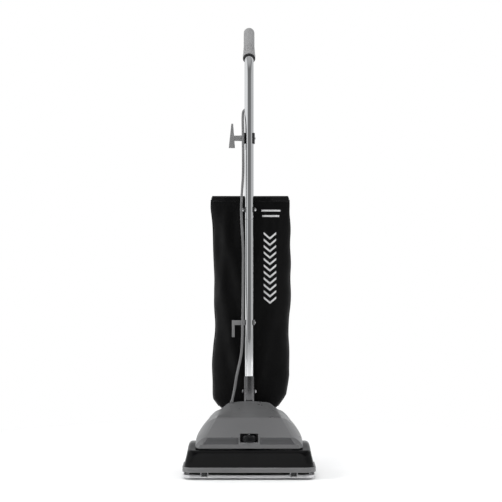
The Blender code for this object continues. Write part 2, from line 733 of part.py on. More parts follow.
def build_motor():
    """Can, end bell, field core, armature, commutator, brushes, bearings and shaft on one axis."""
    axis = (0, 0, MOTOR_Z)
    front = MOTOR_FRONT
    rear = front + MOTOR_LENGTH
    can_profile = [
        (BEARING_RADIUS + GAP, front),
        (BEARING_RADIUS + GAP, front + BEARING_WIDTH + 0.001),
        (BEARING_RADIUS + 0.003, front + BEARING_WIDTH + 0.001),
        (BEARING_RADIUS + 0.003, front + CAN_WALL),
        (MOTOR_RADIUS - CAN_WALL, front + CAN_WALL),
        (MOTOR_RADIUS - CAN_WALL, rear - 0.018),
        (MOTOR_RADIUS, rear - 0.018),
        (MOTOR_RADIUS, front + 0.004),
        (MOTOR_RADIUS - 0.004, front),
        (BEARING_RADIUS + GAP, front),
    ]
    can = piece("motor_can", turned(can_profile, axis, "Y", 20), "cast_aluminium")
    for k in range(6):
        turn = 2 * pi * (k + 0.5) / 6
        at = Vector((0.030 * cos(turn), front - 0.01, MOTOR_Z + 0.030 * sin(turn)))
        cut(can, f"can_vent_cutter_{k}", rod(at, 0.006, 0.02, "Y", 8))

    bell_front = rear - 0.018 + GAP
    bell_profile = [
        (BEARING_RADIUS + GAP, rear - BEARING_WIDTH - 0.003),
        (BEARING_RADIUS + GAP, rear - 0.001),
        (0, rear - 0.001),
        (0, rear + 0.002),
        (0.020, rear + 0.002),
        (MOTOR_RADIUS - 0.006, rear - 0.003),
        (MOTOR_RADIUS, rear - 0.010),
        (MOTOR_RADIUS, bell_front),
        (MOTOR_RADIUS - CAN_WALL, bell_front),
        (MOTOR_RADIUS - CAN_WALL, rear - 0.011),
        (MOTOR_RADIUS - 0.008, rear - 0.006),
        (BEARING_RADIUS + 0.003, rear - 0.004),
        (BEARING_RADIUS + 0.003, rear - BEARING_WIDTH - 0.003),
        (BEARING_RADIUS + GAP, rear - BEARING_WIDTH - 0.003),
    ]
    bell = piece("motor_end_bell", turned(bell_profile, axis, "Y", 20), "black_plastic")
    for k in range(6):
        turn = 2 * pi * (k + 0.5) / 6
        at = Vector((0.031 * cos(turn), rear - 0.012, MOTOR_Z + 0.031 * sin(turn)))
        cut(bell, f"bell_vent_cutter_{k}", rod(at, 0.006, 0.03, "Y", 8))

    core_front = front + 0.016
    core_radius = MOTOR_RADIUS - CAN_WALL - GAP
    core = piece(
        "field_core",
        turned(ring_profile(0.0240, core_radius, core_front, core_front + 0.042), axis, "Y", 20),
        "satin_steel",
    )
    for name, start in (("front_bearing", front + 0.0004), ("rear_bearing", rear - BEARING_WIDTH - 0.0014)):
        sleeve = ring_profile(SHAFT_RADIUS + GAP, BEARING_RADIUS, start, start + BEARING_WIDTH)
        piece(name, turned(sleeve, axis, "Y", 16), "bright_steel")
    commutator_at = core_front + 0.050
    for name, side in (("carbon_brush_left", -1), ("carbon_brush_right", 1)):
        inner = side * (0.0120 + GAP + 0.0002)
        outer = side * 0.0400
        low = (min(inner, outer), commutator_at + 0.003, MOTOR_Z - 0.003)
        high = (max(inner, outer), commutator_at + 0.011, MOTOR_Z + 0.003)
        piece(name, block(low, high), "carbon")

    shaft_profile = [
        (0, rear - 0.002),
        (SHAFT_RADIUS, rear - 0.002),
        (SHAFT_RADIUS, SHAFT_FRONT),
        (0, SHAFT_FRONT),
    ]
    spin = [(r, h - front) for r, h in shaft_profile]
    shaft = piece("motor_shaft", turned(spin, (0, 0, 0), "Y", 16), "bright_steel")
    armature = piece(
        "armature",
        turned(ring_profile(SHAFT_RADIUS + GAP, 0.0230, 0.014, 0.060), (0, 0, 0), "Y", 20),
        "copper",
    )
    commutator = piece(
        "commutator",
        turned(ring_profile(SHAFT_RADIUS + GAP, 0.0120, 0.064, 0.079), (0, 0, 0), "Y", 20),
        "copper",
    )
    for turning in (shaft, armature, commutator):
        turning.location = (0, front, MOTOR_Z)
    return can, bell, core


# ---- chassis -------------------------------------------------------------------------------------
def build_chassis():
    """Moulded tray that carries the motor, the wheels and the handle's pivots."""
    half, wall = CHASSIS_HALF, CHASSIS_WALL
    tray = block((-half, CHASSIS_FRONT, CHASSIS_BOTTOM), (half, CHASSIS_REAR, CHASSIS_TOP))
    chassis = piece("chassis", tray, "black_plastic")
    cut(
        chassis,
        "tray_inside_cutter",
        block(
            (-half + wall, CHASSIS_FRONT - 0.01, CHASSIS_BOTTOM + wall),
            (half - wall, CHASSIS_REAR - wall, CHASSIS_TOP + 0.05),
        ),
    )
    cut(
        chassis,
        "rear_wall_cutter",
        block((-0.2, CHASSIS_REAR - 0.014, REAR_WALL_TOP), (0.2, CHASSIS_REAR + 0.01, CHASSIS_TOP + 0.05)),
    )
    slot_half = half - wall - 0.0005
    axle_slot = block(
        (-slot_half, CHASSIS_FRONT - 0.01, 0), (slot_half, FRONT_WHEEL_Y + 0.0060, FRONT_WHEEL_RADIUS + 0.0035)
    )
    cut(chassis, "axle_slot_cutter", axle_slot)
    for side in (-1, 1):
        ear = prism(
            capsule((PIVOT_Y, CHASSIS_TOP - 0.02), (PIVOT_Y, PIVOT_Z), 0.012),
            min(side * half, side * (half - wall)),
            max(side * half, side * (half - wall)),
            "X",
        )
        join(chassis, f"pivot_ear_joiner_{side}", ear)
        start = min(side * (half - wall - 0.004), side * half)
        axle_boss = rod((start, REAR_WHEEL_Y, REAR_WHEEL_RADIUS), 0.010, wall + 0.004, "X", 18)
        join(chassis, f"axle_boss_joiner_{side}", axle_boss)
        wheel_well = block(
            (min(side * 0.041, side * 0.061), FRONT_WHEEL_Y - 0.03, 0),
            (max(side * 0.041, side * 0.061), FRONT_WHEEL_Y + 0.018, 0.018),
        )
        cut(chassis, f"wheel_well_cutter_{side}", wheel_well)
        cut(
            chassis,
            f"arm_slot_cutter_{side}",
            block(
                (min(side * 0.0320, side * 0.0385), CHASSIS_FRONT - 0.01, 0),
                (max(side * 0.0320, side * 0.0385), CARRIAGE_Y + 0.009, 0.020),
            ),
        )
        hinge_ear = prism(
            capsule((CARRIAGE_Y, CHASSIS_BOTTOM + 0.002), (CARRIAGE_Y, CARRIAGE_Z), 0.0058),
            min(side * 0.0390, side * 0.0430),
            max(side * 0.0390, side * 0.0430),
            "X",
        )
        join(chassis, f"hinge_ear_joiner_{side}", hinge_ear)
    holes = (
        ("pivot_hole", PIVOT_Y, PIVOT_Z, PIN_RADIUS + GAP),
        ("axle_hole", REAR_WHEEL_Y, REAR_WHEEL_RADIUS, REAR_AXLE_RADIUS + GAP),
    )
    for name, y, z, radius in holes:
        for side in (-1, 1):
            start = min(side * (half - 0.02), side * (half + 0.02))
            cut(chassis, f"{name}_cutter_{side}", rod((start, y, z), radius, 0.04, "X", 18))
    for side in (-1, 1):
        start = min(side * 0.0375, side * 0.046)
        hinge_hole = rod((start, CARRIAGE_Y, CARRIAGE_Z), 0.0025 + BORE_CLEARANCE, 0.0085, "X", 14)
        cut(chassis, f"hinge_hole_cutter_{side}", hinge_hole)
    cut(
        chassis,
        "duct_exit_cutter",
        block(
            (-DUCT_HALF_WIDTH - 0.001, CHASSIS_REAR - 0.01, CHASSIS_BOTTOM + wall + 0.001),
            (DUCT_HALF_WIDTH + 0.001, CHASSIS_REAR + 0.01, REAR_WALL_TOP + 0.01),
        ),
    )
    for name, x, half_width in (("pedal_slot", PEDAL_X, PEDAL_HALF), ("switch_slot", -PEDAL_X, SWITCH_HALF)):
        opening = block(
            (x - half_width - 0.001, CHASSIS_REAR - 0.01, 0.026),
            (x + half_width + 0.001, CHASSIS_REAR + 0.01, 0.046),
        )
        cut(chassis, f"{name}_cutter", opening)
    return chassis


def build_pivot_pins():
    """A shouldered pin each side that the handle's fork turns on."""
    for name, side in (("pivot_pin_left", -1), ("pivot_pin_right", 1)):
        inner = CHASSIS_HALF - CHASSIS_WALL - 0.0003
        outer = FORK_ARM_X + FORK_ARM_THICKNESS / 2 + 0.0006
        profile = [
            (0, outer + 0.003),
            (0.0075, outer + 0.003),
            (0.0085, outer),
            (PIN_RADIUS, outer),
            (PIN_RADIUS, inner),
            (0.0080, inner),
            (0.0080, inner - 0.0025),
            (0, inner - 0.0025),
        ]
        if side < 0:
            profile = [(r, -h) for r, h in reversed(profile)]
        piece(name, turned(profile, (0, PIVOT_Y, PIVOT_Z), "X", 14), "bright_steel")


def build_rear_wheels():
    """Moulded rear wheels with a raised hub and a dished face, each on its own headed axle."""
    for word, side in (("left", -1), ("right", 1)):
        half = REAR_WHEEL_WIDTH / 2
        r = REAR_WHEEL_RADIUS
        bore = REAR_AXLE_RADIUS + BORE_CLEARANCE
        profile = [
            (bore, half),
            (0.012, half),
            (0.014, half - 0.005),
            (r - 0.012, half - 0.005),
            (r - 0.009, half),
            (r - 0.002, half),
            (r, half - 0.003),
            (r, -half + 0.003),
            (r - 0.002, -half),
            (r - 0.009, -half),
            (r - 0.012, -half + 0.005),
            (0.014, -half + 0.005),
            (0.012, -half),
            (bore, -half),
            (bore, half),
        ]
        wheel = piece(f"rear_wheel_{word}", turned(profile, (0, 0, 0), "X", 22), "black_plastic")
        wheel.location = (side * REAR_WHEEL_X, REAR_WHEEL_Y, REAR_WHEEL_RADIUS)

        inner = CHASSIS_HALF - CHASSIS_WALL - 0.0043
        outer = REAR_WHEEL_X + half + 0.001
        axle_profile = [
            (0, outer + 0.003),
            (0.0065, outer + 0.003),
            (0.0075, outer),
            (REAR_AXLE_RADIUS, outer),
            (REAR_AXLE_RADIUS, inner),
            (0.0070, inner),
            (0.0070, inner - 0.003),
            (0, inner - 0.003),
        ]
        if side < 0:
            axle_profile = [(rr, -h) for rr, h in reversed(axle_profile)]
        at = (0, REAR_WHEEL_Y, REAR_WHEEL_RADIUS)
        piece(f"rear_axle_{word}", turned(axle_profile, at, "X", 14), "bright_steel")


def build_front_wheels():
    """The height carriage under the nozzle's rear edge, its axle and two small wheels."""
    hinge = empty("carriage_hinge", (0, CARRIAGE_Y, CARRIAGE_Z))
    dy = FRONT_WHEEL_Y - CARRIAGE_Y
    dz = FRONT_WHEEL_RADIUS - CARRIAGE_Z
    bridge = block((-0.0370, dy - 0.0070, -0.0118), (0.0370, dy + 0.0070, -0.0093))
    carriage = piece("wheel_carriage", bridge, "bright_steel", hinge)
    for side in (-1, 1):
        arm = prism(
            capsule((dy, dz), (0, 0), 0.0050),
            min(side * 0.0335, side * 0.0370),
            max(side * 0.0335, side * 0.0370),
            "X",
        )
        join(carriage, f"arm_joiner_{side}", arm)
        web = block(
            (min(side * 0.0335, side * 0.0370), dy - 0.004, -0.0110),
            (max(side * 0.0335, side * 0.0370), dy + 0.004, dz),
        )
        join(carriage, f"web_joiner_{side}", web)
        start = min(side * 0.0350, side * 0.0425)
        join(carriage, f"trunnion_joiner_{side}", rod((start, 0, 0), 0.0025, 0.0075, "X", 14))
        axle_start = min(side * 0.030, side * 0.040)
        axle_hole = rod((axle_start, dy, dz), FRONT_AXLE_RADIUS + GAP, 0.010, "X", 14)
        cut(carriage, f"axle_hole_cutter_{side}", axle_hole)

    half = FRONT_WHEEL_X + FRONT_WHEEL_WIDTH / 2 + 0.003
    axle = piece("front_axle", rod((-half, dy, dz), FRONT_AXLE_RADIUS, 2 * half, "X", 14), "bright_steel", hinge)
    r = FRONT_WHEEL_RADIUS
    w = FRONT_WHEEL_WIDTH / 2
    bore = FRONT_AXLE_RADIUS + BORE_CLEARANCE
    profile = [(bore, w), (r - 0.002, w), (r, w - 0.002), (r, -w + 0.002), (r - 0.002, -w), (bore, -w), (bore, w)]
    for word, side in (("left", -1), ("right", 1)):
        wheel = piece(f"front_wheel_{word}", turned(profile, (0, 0, 0), "X", 18), "black_plastic", hinge)
        wheel.location = (side * FRONT_WHEEL_X, dy, dz)
    return carriage, axle


def build_duct():
    """Exhaust duct: flat under the motor, then bending up to the round bag collar."""
    start = SCROLL_FRONT + SCROLL_DEPTH + 0.0005
    stations = (
        (start, DUCT_Z, 0, DUCT_HALF_WIDTH, DUCT_HALF_HEIGHT),
        (FRONT + 0.256, DUCT_Z, 0, DUCT_HALF_WIDTH, DUCT_HALF_HEIGHT),
        (FRONT + 0.272, DUCT_Z + 0.0045, 20, 0.0245, 0.0160),
        (FRONT + 0.285, DUCT_Z + 0.0130, 34, 0.0220, 0.0185),
        (COLLAR_Y, COLLAR_Z, COLLAR_TURN, COLLAR_RADIUS, COLLAR_RADIUS),
    )
    sections = [ring_across((0, y, z), turn, half_x, half_z) for y, z, turn, half_x, half_z in stations]
    duct = piece("exhaust_duct", loft(sections, closed=True), "black_plastic")
    wall = duct.modifiers.new("Solidify", "SOLIDIFY")
    wall.thickness = 0.002
    wall.offset = -1
    return duct


def build_pedal_and_switch():
    """Handle release pedal with its return spring, and the rocker power switch, on the rear wall."""
    pedal_hinge = empty("pedal_hinge", (PEDAL_X, CHASSIS_REAR - 0.012, 0.036))
    lever = [
        (-0.005, -0.004),
        (0.020, -0.004),
        (0.038, -0.008),
        (0.040, -0.005),
        (0.022, 0.001),
        (0.010, 0.005),
        (-0.005, 0.004),
    ]
    pedal = piece("release_pedal", prism(lever, -PEDAL_HALF, PEDAL_HALF, "X"), "black_plastic", pedal_hinge)
    join(pedal, "pedal_pad_joiner", block((-0.022, 0.021, -0.0085), (0.022, 0.046, -0.0045)))
    spring = []
    for k in range(29):
        turn = 2 * pi * k / 7
        spring.append(
            (
                PEDAL_X + 0.004 * cos(turn),
                CHASSIS_REAR - 0.0125 + 0.004 * sin(turn),
                CHASSIS_BOTTOM + CHASSIS_WALL + 0.0013 + 0.0165 * k / 28,
            )
        )
    tube_along("pedal_spring", spring, 0.0007, "bright_steel", sides=1)

    switch_hinge = empty("switch_hinge", (-PEDAL_X, CHASSIS_REAR + 0.0005, 0.036))
    rocker = [(-0.004, -0.0085), (0.0035, -0.0085), (0.0012, 0.0), (0.0055, 0.0085), (-0.004, 0.0085)]
    switch = piece(
        "power_switch",
        prism(rocker, -SWITCH_HALF + 0.0005, SWITCH_HALF - 0.0005, "X"),
        "black_plastic",
        switch_hinge,
    )
    return pedal, switch


# ---- hood ----------------------------------------------------------------------------------------
def hood_station(depth):
    """(base half width, base height, crease half width, crease height, crown height) of the hood."""
    half, top = shell_section(depth)
    base = min(HOOD_BOTTOM, top + 0.0032)
    slope = (depth - 0.030) / 0.080
    if depth < 0.030:
        share = (depth - 0.018) / 0.012
        crease = (0.909 - 0.102 * share) * HOOD_HALF
        return HOOD_HALF - 0.010 * (1 - share), base, crease, HOOD_BOTTOM + 0.0005 + 0.0165 * share**2, 0.0
    if depth <= 0.110:
        low = HOOD_BOTTOM + 0.0170
        crease = (0.807 - 0.196 * slope) * HOOD_HALF
        return HOOD_HALF + 0.001 * slope, base, crease, low + (HOOD_CREST - low) * slope, 0.0015
    share = (depth - 0.110) / (HOOD_DEPTH - 0.110)
    crease = (0.611 - 0.044 * share) * HOOD_HALF
    crown = 0.0015 + 0.0210 * share
    return HOOD_HALF + 0.001 - 0.014 * share**2, base, crease, HOOD_CREST + 0.0050 * share, crown


def build_hood():
    """Grey motor hood: a low lip, a sloping front face between two fenders, and a crowned rear."""
    sections = []
    for depth in (0.018, 0.022, 0.030, 0.070, 0.110, 0.160, 0.210, HOOD_DEPTH):
        half, base, crease, shoulder, crown = hood_station(depth)
        right = []
        for k in range(6):
            rise = k / 5
            out = crease + (half - crease) * (1 - rise**1.5) ** (2 / 3)
            right.append((out, base + (shoulder - base) * rise))
        for inward in (0.66, 0.33):
            right.append((crease * inward, shoulder + crown * (1 - inward**2)))
        row = right + [(0.0, shoulder + crown)] + [(-x, z) for x, z in reversed(right)]
        sections.append([Vector((x, FRONT + depth, z)) for x, z in row])
    hood = piece("motor_hood", loft(sections, cap_start=True), "grey_hood")
    wall = hood.modifiers.new("Solidify", "SOLIDIFY")
    wall.thickness = HOOD_WALL
    wall.offset = -1
    pocket = rod((0, KNOB_Y, KNOB_Z - 0.0008), KNOB_RADIUS + 0.0022, 0.06, "Z", 32)
    shelf = rod((0, KNOB_Y, KNOB_Z - 0.0036), KNOB_RADIUS + 0.0045, 0.0028, "Z", 32)
    join(hood, "knob_shelf_joiner", shelf)
    cut(hood, "knob_pocket_cutter", pocket)
    reach = KNOB_RADIUS + 0.0022
    approach = block((-reach, FRONT, KNOB_Z - 0.0008), (reach, KNOB_Y, KNOB_Z + 0.05))
    cut(hood, "knob_approach_cutter", approach)
    cut(hood, "knob_shaft_cutter", rod((0, KNOB_Y, 0.070), KNOB_SHAFT_RADIUS + BORE_CLEARANCE, 0.05, "Z", 16))
    cord_hole = rod(STRAIN_AT - Vector((0, 0, 0.02)), 0.0064, 0.06, "Z", 16)
    cut(hood, "cord_hole_cutter", cord_hole)
    return hood


def build_knob():
    """Height dial on the hood's shelf, with a grip bar, and the cam under it."""
    spin = empty("knob_axis", (0, KNOB_Y, KNOB_Z))
    profile = [
        (0, KNOB_HEIGHT - 0.003),
        (KNOB_RADIUS - 0.006, KNOB_HEIGHT - 0.003),
        (KNOB_RADIUS - 0.001, KNOB_HEIGHT - 0.006),
        (KNOB_RADIUS, 0.003),
        (KNOB_RADIUS - 0.0015, 0),
        (KNOB_SHAFT_RADIUS, 0),
        (KNOB_SHAFT_RADIUS, -0.0085),
        (0, -0.0085),
    ]
    knob = piece("height_knob", turned(profile, (0, 0, 0), "Z", 32), "black_gloss", spin)
    bar = block((-0.0035, -KNOB_RADIUS + 0.003, KNOB_HEIGHT - 0.005), (0.0035, KNOB_RADIUS - 0.003, KNOB_HEIGHT))
    join(knob, "grip_bar_joiner", bar)

    low, high = -0.0080, -0.0050
    disc = rod((0.0035, 0, low), 0.0100, high - low, "Z", 20)
    cam = piece("height_cam", disc, "black_plastic", spin)
    cut(cam, "cam_bore_cutter", rod((0, 0, low - 0.01), KNOB_SHAFT_RADIUS + GAP, 0.03, "Z", 16))
    return knob


# ---- handle --------------------------------------------------------------------------------------
def build_fork(pivot):
    """Pressed steel fork: two arms under an arch, and the stub that the socket tube slides over."""
    half = FORK_ARM_THICKNESS / 2
    outside = FORK_ARM_X + half
    inside = FORK_ARM_X - half - 0.003
    over = [(outside, FORK_SHOULDER - 0.008), (outside, FORK_SHOULDER + 0.008), (0.044, FORK_TOP - 0.010)]
    over.append((0.016, FORK_TOP))
    under = [(0.012, FORK_TOP - 0.014), (0.038, FORK_TOP - 0.023), (inside, FORK_SHOULDER)]
    under.append((inside, FORK_SHOULDER - 0.008))
    outline = over + [(-x, z) for x, z in reversed(over)] + [(-x, z) for x, z in reversed(under)] + under
    arch = prism(outline, TUBE_OFFSET - FORK_DEPTH / 2, TUBE_OFFSET + FORK_DEPTH / 2, "Y")
    fork = piece("handle_fork", arch, "satin_steel", pivot)
    for side in (-1, 1):
        arm = prism(
            capsule((0, 0), (TUBE_OFFSET, FORK_SHOULDER), 0.0090),
            side * FORK_ARM_X - half,
            side * FORK_ARM_X + half,
            "X",
        )
        join(fork, f"fork_arm_joiner_{side}", arm)
        hole = rod((side * FORK_ARM_X - 0.01, 0, 0), PIN_RADIUS + BORE_CLEARANCE, 0.02, "X", 18)
        cut(fork, f"fork_hole_cutter_{side}", hole)
    stub_radius = SOCKET_RADIUS - SOCKET_WALL - GAP
    stub = rod((0, TUBE_OFFSET, FORK_TOP - 0.006), stub_radius, STUB_TOP - FORK_TOP + 0.006, "Z", 24)
    join(fork, "stub_joiner", stub)
    bolt_hole = rod((-0.03, TUBE_OFFSET, SOCKET_BOLT_HEIGHT), BOLT_RADIUS + GAP, 0.06, "X", 14)
    cut(fork, "stub_hole_cutter", bolt_hole)
    return fork


def build_socket(pivot):
    """Satin steel socket tube over the fork's stub and the lower chrome tube."""
    inner = SOCKET_RADIUS - SOCKET_WALL
    profile = [
        (inner, SOCKET_TOP),
        (SOCKET_RADIUS - 0.001, SOCKET_TOP),
        (SOCKET_RADIUS, SOCKET_TOP - 0.001),
        (SOCKET_RADIUS, SOCKET_BOTTOM),
        (inner, SOCKET_BOTTOM),
        (inner, SOCKET_TOP),
    ]
    socket = piece("handle_socket", turned(profile, (0, TUBE_OFFSET, 0), "Z", 24), "satin_steel", pivot)
    bolt_hole = rod((-0.03, TUBE_OFFSET, SOCKET_BOLT_HEIGHT), BOLT_RADIUS + GAP, 0.06, "X", 14)
    cut(socket, "socket_hole_cutter", bolt_hole)
    return socket


def build_tubes(pivot):
    """Lower chrome tube with its reduced spigot, and the upper tube that bends back for the grip."""
    bottom = STUB_TOP + 0.003
    inner = TUBE_RADIUS - TUBE_WALL
    spigot = inner * cos(pi / TUBE_SIDES) - GAP
    profile = [
        (spigot - TUBE_WALL, JOINT_HEIGHT + SPIGOT_LENGTH),
        (spigot, JOINT_HEIGHT + SPIGOT_LENGTH),
        (spigot, JOINT_HEIGHT - GAP),
        (TUBE_RADIUS, JOINT_HEIGHT - GAP),
        (TUBE_RADIUS, bottom),
        (spigot - TUBE_WALL, bottom),
        (spigot - TUBE_WALL, JOINT_HEIGHT + SPIGOT_LENGTH),
    ]
    lower = piece("lower_tube", turned(profile, (0, TUBE_OFFSET, 0), "Z", 20), "chrome", pivot)
    hole = rod((-0.03, TUBE_OFFSET, CLIP_BOLT_HEIGHT), BOLT_RADIUS + GAP, 0.06, "X", 14)
    cut(lower, "spigot_hole_cutter", hole)

    path = [(0, TUBE_OFFSET, JOINT_HEIGHT)]
    path += [
        (0, TUBE_OFFSET + BEND_RADIUS * (1 - cos(a)), BEND_START + BEND_RADIUS * sin(a))
        for a in (GRIP_LEAN * k / 6 for k in range(7))
    ]
    path.append(grip_point(GRIP_LENGTH - 0.012))
    upper = piece("upper_tube", tube_mesh(path, TUBE_RADIUS, TUBE_SIDES // 2 - 2, caps=False), "chrome", pivot)
    wall = upper.modifiers.new("Solidify", "SOLIDIFY")
    wall.thickness = TUBE_WALL
    wall.offset = -1
    hole = rod((-0.03, TUBE_OFFSET, CLIP_BOLT_HEIGHT), BOLT_RADIUS + GAP, 0.06, "X", 14)
    cut(upper, "upper_tube_hole_cutter", hole)
    return lower, upper


def grip_point(along, off=0.0):
    """A point in the grip: along its axis from the tube's bend, and off it to the rear."""
    y = TUBE_OFFSET + BEND_RADIUS * (1 - cos(GRIP_LEAN)) + along * sin(GRIP_LEAN) + off * cos(GRIP_LEAN)
    z = BEND_START + BEND_RADIUS * sin(GRIP_LEAN) + along * cos(GRIP_LEAN) - off * sin(GRIP_LEAN)
    return Vector((0, y, z))


def build_grip(pivot):
    """Moulded grip with a domed end, two rings and an arched lower end."""
    inner = TUBE_RADIUS + GAP
    end = GRIP_LENGTH
    dome = [(GRIP_RADIUS * cos(a), end - GRIP_RADIUS + GRIP_RADIUS * sin(a)) for a in
            (radians(90), radians(60), radians(30), 0)]
    profile = [
        (0, end - 0.0105),
        *dome,
        (GRIP_RADIUS, 0.060),
        (GRIP_FLARE, 0.012),
        (GRIP_FLARE, 0.001),
        (inner, 0.001),
        (inner, end - 0.0105),
        (0, end - 0.0105),
    ]
    grip = piece("hand_grip", turned(profile, (0, 0, 0), "Z", 24), "grey_rubber", pivot)
    grip.location = grip_point(0)
    grip.rotation_euler.x = -GRIP_LEAN
    scallop = tool("grip_arch_cutter", rod((0, -0.05, 0), TUBE_RADIUS + 0.0038, 0.10, "Y", 20), pivot)
    scallop.location = grip_point(-0.0030)
    scallop.rotation_euler.x = -GRIP_LEAN
    boolean(grip, scallop, "DIFFERENCE")
    return grip


def build_bolts(pivot):
    """Cross bolts with their nuts: one through the socket, one through the tube joint and bag clip."""
    for name, height, reach in (
        ("socket_bolt", SOCKET_BOLT_HEIGHT, SOCKET_RADIUS),
        ("clip_bolt", CLIP_BOLT_HEIGHT, TUBE_RADIUS + 0.0028),
    ):
        out = reach + 0.0004
        profile = [
            (0, out + 0.0045),
            (0.0035, out + 0.0045),
            (0.0055, out + 0.002),
            (0.0055, out),
            (BOLT_RADIUS, out),
            (BOLT_RADIUS, -out),
            (0.0055, -out),
            (0.0055, -out - 0.0035),
            (0.0030, -out - 0.0045),
            (0, -out - 0.0045),
        ]
        piece(name, turned(profile, (0, TUBE_OFFSET, height), "X", 12), "bright_steel", pivot)


def clamp_bmesh(height, tall, outer, inner):
    """The collar of a hook's clamp round the tube."""
    low, high = height - tall / 2, height + tall / 2
    return turned(ring_profile(inner, outer, low, high), (0, TUBE_OFFSET, 0), "Z", 24)


def build_hooks(pivot):
    """Cord hooks on the left of the tube: the lower one fixed, the upper one on a swivel."""
    inner = TUBE_RADIUS + GAP
    outer = inner + CLAMP_WALL
    lower = piece("lower_cord_hook", clamp_bmesh(LOWER_HOOK_HEIGHT, 0.014, outer, inner), "grey_plastic", pivot)
    front = TUBE_OFFSET - 0.004
    bar = block(
        (-HOOK_REACH, front - 0.004, LOWER_HOOK_HEIGHT - 0.007),
        (-outer + 0.0015, front + 0.004, LOWER_HOOK_HEIGHT + 0.006),
    )
    join(lower, "lower_bar_joiner", bar)
    arm = block(
        (-HOOK_REACH - 0.001, front - 0.004, LOWER_HOOK_HEIGHT - 0.040),
        (-HOOK_REACH + 0.0065, front + 0.004, LOWER_HOOK_HEIGHT + 0.0062),
    )
    join(lower, "lower_arm_joiner", arm)

    clamp = piece("upper_hook_clamp", clamp_bmesh(UPPER_HOOK_HEIGHT, 0.030, outer, inner), "black_plastic", pivot)
    stem = rod((-outer - 0.0055, front, UPPER_HOOK_HEIGHT), 0.0035, 0.008, "X", 14)
    join(clamp, "swivel_stem_joiner", stem)

    swivel = empty("hook_swivel", (0, front, UPPER_HOOK_HEIGHT), pivot)
    reach = HOOK_REACH
    start = -outer - 0.0006
    hook = piece("upper_cord_hook", rod((start - 0.010, 0, 0), 0.0080, 0.010, "X", 18), "grey_plastic", swivel)
    bar = block((-reach, -0.004, -0.007), (start - 0.004, 0.004, 0.007))
    join(hook, "upper_bar_joiner", bar)
    arm = prism(
        [
            (-reach - 0.010, -0.027),
            (-reach + 0.007, -0.027),
            (-reach + 0.002, 0.040),
            (-reach - 0.003, 0.040),
        ],
        -0.004,
        0.004,
        "Y",
    )
    join(hook, "upper_arm_joiner", arm)
    socket = rod((start - 0.0070, 0, 0), 0.0035 + BORE_CLEARANCE, 0.0075, "X", 14)
    cut(hook, "swivel_socket_cutter", socket)
    return lower, hook


def build_bag(pivot):
    """Cloth bag as a thin lofted shell, its hanger at the top and the neck sleeve at the bottom."""
    wide = BAG_HALF_WIDTH
    thick = BAG_DEPTH
    stations = (
        (BAG_BOTTOM, 0.030, 0.036),
        (BAG_BOTTOM + 0.003, 0.076, 0.046),
        (BAG_BOTTOM + 0.018, 0.090, 0.056),
        (BAG_BOTTOM + 0.036, 0.0985, 0.064),
        (0.135, 0.1045, 0.074),
        (0.220, wide, 0.092),
        (0.320, wide, thick),
        (0.430, wide, 0.092),
        (0.540, wide, 0.066),
        (0.610, wide, 0.036),
        (BAG_TOP, wide, 0.010),
    )
    sections = []
    for height, half_x, depth in stations:
        ring = []
        for k in range(20):
            turn = 2 * pi * k / 20
            flat_x = abs(cos(turn)) ** 0.35 * (1 if cos(turn) >= 0 else -1)
            flat_y = abs(sin(turn)) ** 0.75 * (1 if sin(turn) >= 0 else -1)
            ring.append(
                Vector((BAG_X + half_x * flat_x, BAG_FRONT + depth / 2 * (1 + flat_y), height))
            )
        sections.append(ring)
    bag = piece("dust_bag", loft(sections, cap_end=True, closed=True), "black_fabric", pivot)
    wall = bag.modifiers.new("Solidify", "SOLIDIFY")
    wall.thickness = BAG_WALL
    wall.offset = -1

    hanger = piece(
        "bag_hanger",
        clamp_bmesh(CLIP_BOLT_HEIGHT, 0.016, TUBE_RADIUS + 0.0025, TUBE_RADIUS + GAP),
        "bright_steel",
        pivot,
    )
    tab = block(
        (-0.011, TUBE_OFFSET + TUBE_RADIUS + 0.001, CLIP_BOLT_HEIGHT - 0.008),
        (0.011, TUBE_OFFSET + TUBE_RADIUS + 0.0026, CLIP_BOLT_HEIGHT + 0.008),
    )
    join(hanger, "hanger_tab_joiner", tab)
    hole = rod((-0.03, TUBE_OFFSET, CLIP_BOLT_HEIGHT), BOLT_RADIUS + GAP, 0.06, "X", 14)
    cut(hanger, "hanger_hole_cutter", hole)
    return bag


def build_neck():
    """Rubber sleeve from the duct's collar up into the bag."""
    end = handle_matrix() @ Vector((BAG_X, BAG_FRONT + 0.018, BAG_BOTTOM - 0.001))
    heading = Vector((0, cos(radians(COLLAR_TURN)), sin(radians(COLLAR_TURN))))
    start = Vector((0, COLLAR_Y, COLLAR_Z)) + heading * 0.0008
    stations = (
        (start, COLLAR_TURN, NECK_RADIUS - 0.003),
        (start + heading * 0.014 + Vector((0, 0, 0.002)), COLLAR_TURN + 16, NECK_RADIUS),
        (start.lerp(end, 0.55) + Vector((0, 0.004, 0)), 78, NECK_RADIUS),
        (end, 86, NECK_RADIUS - 0.009),
    )
    sections = [ring_across(centre, turn, radius, radius) for centre, turn, radius in stations]
    neck = piece("bag_neck", loft(sections, closed=True), "belt_rubber")
    wall = neck.modifiers.new("Solidify", "SOLIDIFY")
    wall.thickness = 0.002
    wall.offset = -1
    return neck


# ---- cord ----------------------------------------------------------------------------------------


def handle_matrix():
    """From the handle's own space to the world, at rest."""
    return Matrix.Translation((0, PIVOT_Y, PIVOT_Z)) @ Matrix.Rotation(-HANDLE_LEAN, 4, "X")


